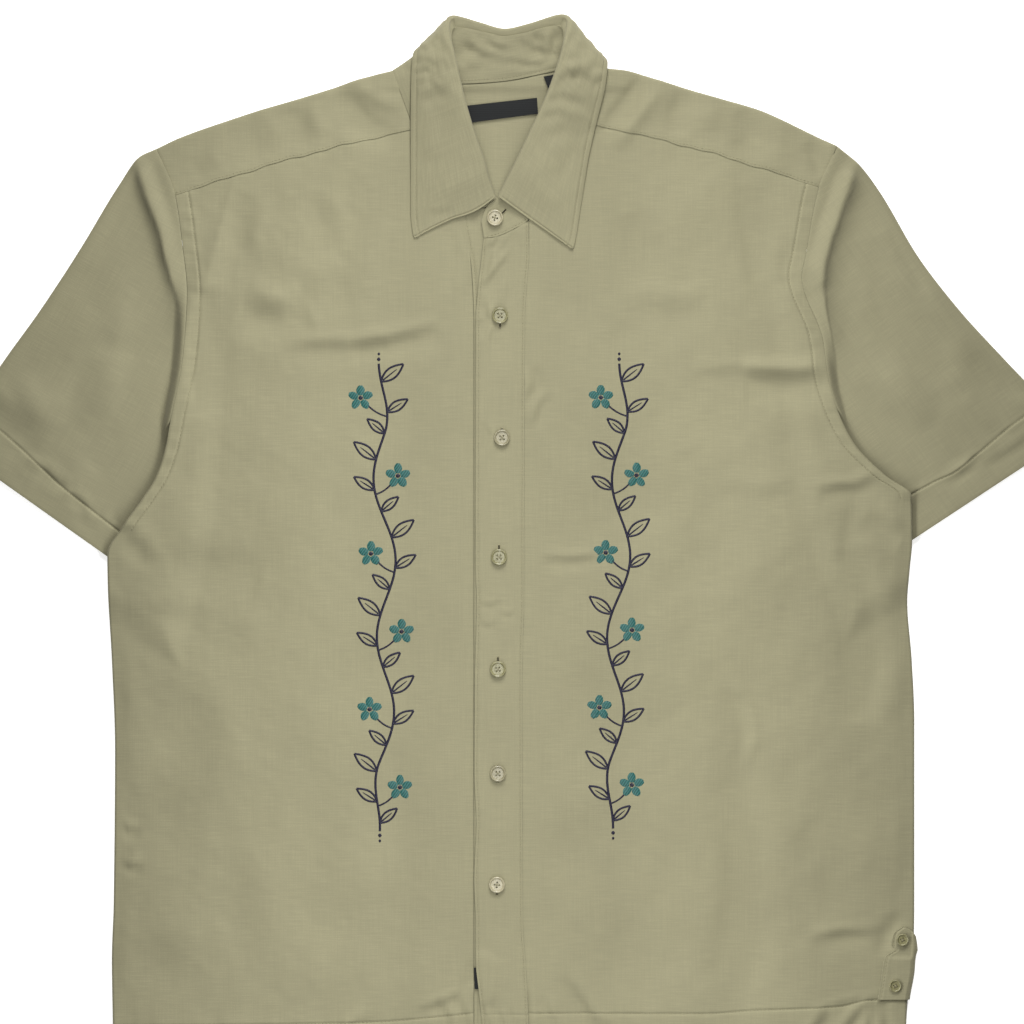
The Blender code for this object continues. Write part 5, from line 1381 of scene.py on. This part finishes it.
def buttonholes(holes):
    """Worked buttonholes: two bars of close stitches with a slit between, and a bar across each end. The slit
    is a near-black thread on top whose colour is painted shade.
    """
    bars, slit_painted_shade = ([], []), ([], [])
    for (x, y), degrees, length, low in holes:
        angle = math.radians(degrees)
        side = np.array((-math.sin(angle), math.cos(angle), 0.0))
        middle = np.array((x, y, low + 0.06))
        half = np.array((math.cos(angle), math.sin(angle), 0.0)) * length / 2
        for aside in (-0.8, 0.8):
            add_thread(bars, [middle + half * t + side * aside for t in np.linspace(-1, 1, 9)], 0.7)
        for end in (-1, 1):
            add_thread(bars, [middle + half * end + side * s for s in (-0.95, 0, 0.95)], 0.8)
        # the slit: a near-black thread whose colour is painted shade, standing for the shadow inside the cut
        add_thread(slit_painted_shade, [middle + half * t + np.array((0, 0, 0.22)) for t in (-0.92, 0, 0.92)], 1.05, 4)
    thread_piece("buttonhole_stitching", bars, sewing_thread)
    thread_piece("buttonhole_slits", slit_painted_shade, shadow_thread)


def satin(work, line, widths, rise=0.42):
    """Adds a band of satin stitch along a flat line: rounded on top and set a little into the cloth."""
    points, faces = work
    line = np.asarray(line, dtype=float)
    tube_faces(faces, len(points), len(line), len(SATIN_PROFILE))
    widths = np.broadcast_to(np.asarray(widths, dtype=float), len(line))
    ways = unit(np.gradient(line, axis=0))
    for place, way, width in zip(line, ways, widths):
        for across, up in SATIN_PROFILE:
            spot = place + np.array((-way[1], way[0])) * across * width / 2
            points.append((*place, *spot, up * rise * min(1, 0.35 + width / 2.4)))


def laid_satin(name, work, finish):
    """Lays finished satin work on a front and makes it a piece."""
    x, y, across, along, up = np.array(work[0]).T
    laid = np.stack([across, along, laid_top(x, y) + up], axis=1)
    thread_piece(name, (laid, work[1]), finish)


def leaf(work, root, degrees, scale):
    """An open leaf: two bowed edges and a short vein."""
    aim = np.array((math.cos(math.radians(degrees)), math.sin(math.radians(degrees))))
    way, side = aim * LEAF_LENGTH * scale, np.array((-aim[1], aim[0]))
    for half in (-LEAF_WIDTH * scale / 2, LEAF_WIDTH * scale / 2):
        satin(work, [root + way * t + side * half * math.sin(math.pi * t) ** 0.9 * (1 - 0.25 * t)
                     for t in np.linspace(0, 1, 13)], LEAF_EDGE)
    satin(work, [root + way * t for t in np.linspace(0.08, 0.7, 7)], [1.3, 1.3, 1.25, 1.15, 1.0, 0.8, 0.5])


def embroidery(side, axis):
    """The stem, leaves and blossoms down one front."""
    top, bottom = axis[0][0], axis[-1][0]

    def stem_at(share):
        """The stem's place at a share of its way down."""
        y = top + (bottom - top) * share
        swing = min(1.0, share * 7, (1 - share) * 7)
        wave = math.sin(math.pi * STEM_BENDS * share)
        return np.array((float(smooth(axis, y)) + STEM_WAVE * swing * wave, y))

    navy, teal = ([], []), ([], [])
    satin(navy, [stem_at(s) for s in np.linspace(0, 1, 190)], STEM_WIDTH)
    for bend in range(STEM_BENDS):
        # each bend has a blossom on its hollow side and three leaves, two of them on its outer side
        hand = -1 if bend % 2 == 0 else 1
        middle = (bend + 0.5) / STEM_BENDS
        for shift, way_out, lean, scale in LEAVES:
            leaf(navy, stem_at(middle + shift), 90 - hand * way_out * lean, scale)
        centre = stem_at(middle - 0.01) + np.array((hand * BLOSSOM_OFF, 0.0))
        foot = stem_at(middle + 0.03)
        satin(navy, [foot + (centre - foot) * t + np.array((0, -2.6 * math.sin(math.pi * t)))
                     for t in np.linspace(0, 0.72, 10)], STALK_WIDTH)
        for petal in range(PETALS):
            way = 2 * math.pi * (petal + 0.25) / PETALS
            aim = np.array((math.cos(way), math.sin(way)))
            shares = np.linspace(0, 1, 9)
            satin(teal, [centre + aim * (2.1 + PETAL_LENGTH * t) for t in shares],
                  [0.8 + PETAL_WIDTH * math.sin(math.pi * min(0.93, 0.1 + 0.82 * t)) ** 0.8 for t in shares])
        satin(navy, [centre + np.array((t, 0)) for t in np.linspace(-1.7, 1.7, 7)],
              [0.8, 2.5, 3.2, 3.5, 3.2, 2.5, 0.8], 0.6)
    for end, way in ((0, 1), (1, -1)):
        for off, wide in ((3.4, 3.0), (7.6, 2.2)):
            spot = stem_at(end) + np.array((0, way * off))
            satin(navy, [spot + np.array((0, t * wide / 2)) for t in np.linspace(-1, 1, 5)],
                  [0.6, wide * 0.85, wide, wide * 0.85, 0.6], 0.5)
    laid_satin(f"embroidery_{side}_stems", navy, navy_rayon)
    laid_satin(f"embroidery_{side}_blossoms", teal, teal_rayon)


def light(name, place, aim, size, power, colour):
    """A large soft lamp aimed at a point: its width and height."""
    lamp = bpy.data.lights.new(name, "AREA")
    lamp.shape, lamp.energy, lamp.color = "RECTANGLE", power, colour
    lamp.size, lamp.size_y = size
    made = linked(name, lamp)
    made.visible_camera = False
    made.location = place
    made.rotation_euler = (Vector(aim) - Vector(place)).to_track_quat("-Z", "Y").to_euler()


linen = slubby_linen()
sewing_thread = spun_thread("sage_sewing_thread", "#787359", "#8d886c", 0.0035, 0.7, 0.1)
# the buttonhole slits' near-black is painted shade of the cut opening, not a thread colour
shadow_thread = spun_thread("dark_buttonhole_slit", "#14130d", "#211f17", 0.0035, 0.9, 0.0)
navy_rayon = spun_thread("navy_rayon_embroidery", "#070619", "#110f2c", 0.0055, 0.5, 0.05)
teal_rayon = spun_thread("teal_rayon_embroidery", "#133d3b", "#2b625d", 0.0055, 0.45, 0.1)
resins = {"cream": cast_polyester("cream_cast_polyester", "#89836a", "#a19a7f"),
          "mid_cream": cast_polyester("dull_cream_cast_polyester", "#79745b", "#8c866c"),
          "smoky": cast_polyester("smoky_olive_cast_polyester", "#6b6849", "#84805e")}
label_tape = woven_label()

bpy.ops.object.select_all(action="DESELECT")
bpy.ops.mesh.primitive_plane_add(size=7, location=(0, 0, -0.0004))
table = bpy.context.object
table.name = "table"
table.data.materials.append(white_card())

back()
yoke_lines = yoke()
right_armhole, right_hem = front("front_right", SIDE_RIGHT, ARMHOLE_RIGHT, CENTRE_RIGHT, FRONT_ROWS_RIGHT,
                                 HEM_LINE_RIGHT, 11)
left_armhole, left_hem = front("front_left", SIDE_LEFT, ARMHOLE_LEFT, CENTRE_LEFT, FRONT_ROWS_LEFT,
                               HEM_LINE_LEFT, 23)
right_cuff = sleeve("sleeve_right", ARMHOLE_RIGHT, SHARED_RIGHT, TUCKED_RIGHT, HEM_RIGHT, CAP_RIGHT,
                    COVERED_RIGHT, VALLEY_RIGHT, CUFF_RIGHT)
left_cuff = sleeve("sleeve_left", ARMHOLE_LEFT, SHARED_LEFT, TUCKED_LEFT, HEM_LEFT, CAP_LEFT,
                   COVERED_LEFT, VALLEY_LEFT, CUFF_LEFT)
stand_line = button_stand()
placket_lines = placket()
collar_lines = collar_stand() + collar_fall()
tab_line = vent_tab()
label("neck_label_tape", "neck_label", NECK_LABEL, lambda x, y: base(x, y) + COLLAR_UNDER + GAP)
label("size_tab_tape", "size_tab", SIZE_TAB, lambda x, y: NECK_LIFT + COLLAR_UNDER + GAP)
label("care_tag_tape", "care_tag", CARE_TAG, lambda x, y: BODY + GAP)

seam_stitches("armhole_topstitching", [right_armhole, left_armhole])
seam_stitches("yoke_topstitching", yoke_lines)
seam_stitches("hem_stitching", [right_hem, left_hem, right_cuff, left_cuff])
seam_stitches("placket_topstitching", placket_lines + [stand_line])
seam_stitches("collar_topstitching", collar_lines)
seam_stitches("vent_tab_topstitching", [tab_line])

sewn = [(f"front_button_{number}", f"button_{number}", spot, turn, BUTTON_DIAMETER, tone)
        for number, (spot, (turn, _, tone)) in enumerate(zip(BUTTONS, BUTTON_FORMS), start=1)]
sewn += [(f"{place}_vent_button", f"vent_button_{place}", spot, VENT_BUTTON_TURN, SMALL_BUTTON_DIAMETER,
          "smoky") for place, spot in VENT_BUTTONS]
patterns = {diameter: turned_button(diameter) for diameter in (BUTTON_DIAMETER, SMALL_BUTTON_DIAMETER)}
for name, cad_node, spot, turn, diameter, tone in sewn:
    sewn_button(name, patterns[diameter], spot, turn, cad_node, resins[tone])
for pattern in patterns.values():
    bpy.data.objects.remove(pattern, do_unlink=True)
button_threads("button_threads", [row[2:5] for row in sewn])

top_x, top_y = BUTTONS[0]
holes = [((top_x + 3.6, top_y + 1.6), 45, 15, LAP)]
holes += [((x, y + off), 90, 13.5, LAP + PLACKET_UP)
          for (x, y), (_, off, _) in zip(BUTTONS[1:], BUTTON_FORMS[1:])]
buttonholes(holes)

embroidery("right", STEM_RIGHT)
embroidery("left", STEM_LEFT)

# The photograph's view: straight down from above
camera_data = bpy.data.cameras.new("camera")
camera_data.lens, camera_data.sensor_width = 135, 36
camera = bpy.data.objects.new("camera", camera_data)
camera.location = (-0.000585, 0.01443, PHOTOGRAPH_WIDTH * camera_data.lens / camera_data.sensor_width)
bpy.context.scene.collection.objects.link(camera)
bpy.context.scene.camera = camera

world = bpy.data.worlds.new("studio")
world.use_nodes = True
world.node_tree.nodes["Background"].inputs["Color"].default_value = (1, 1, 1, 1)
world.node_tree.nodes["Background"].inputs["Strength"].default_value = 0.15
bpy.context.scene.world = world
bpy.context.scene.view_settings.view_transform = "Standard"
# A broad soft key from beyond the collar, and two strips over the middle that each rake one side
light("key", (0.25, 4.1, 2.5), (0, 0, 0), (2.7, 1.7), 238, (1.0, 0.99, 0.97))
for name, hand in (("strip_right", -1), ("strip_left", 1)):
    light(name, (0.03 * hand, -0.2, 0.24), (0.56 * hand, -0.2, 0), (1.4, 0.1), 3.45, (1.0, 1.0, 0.985))
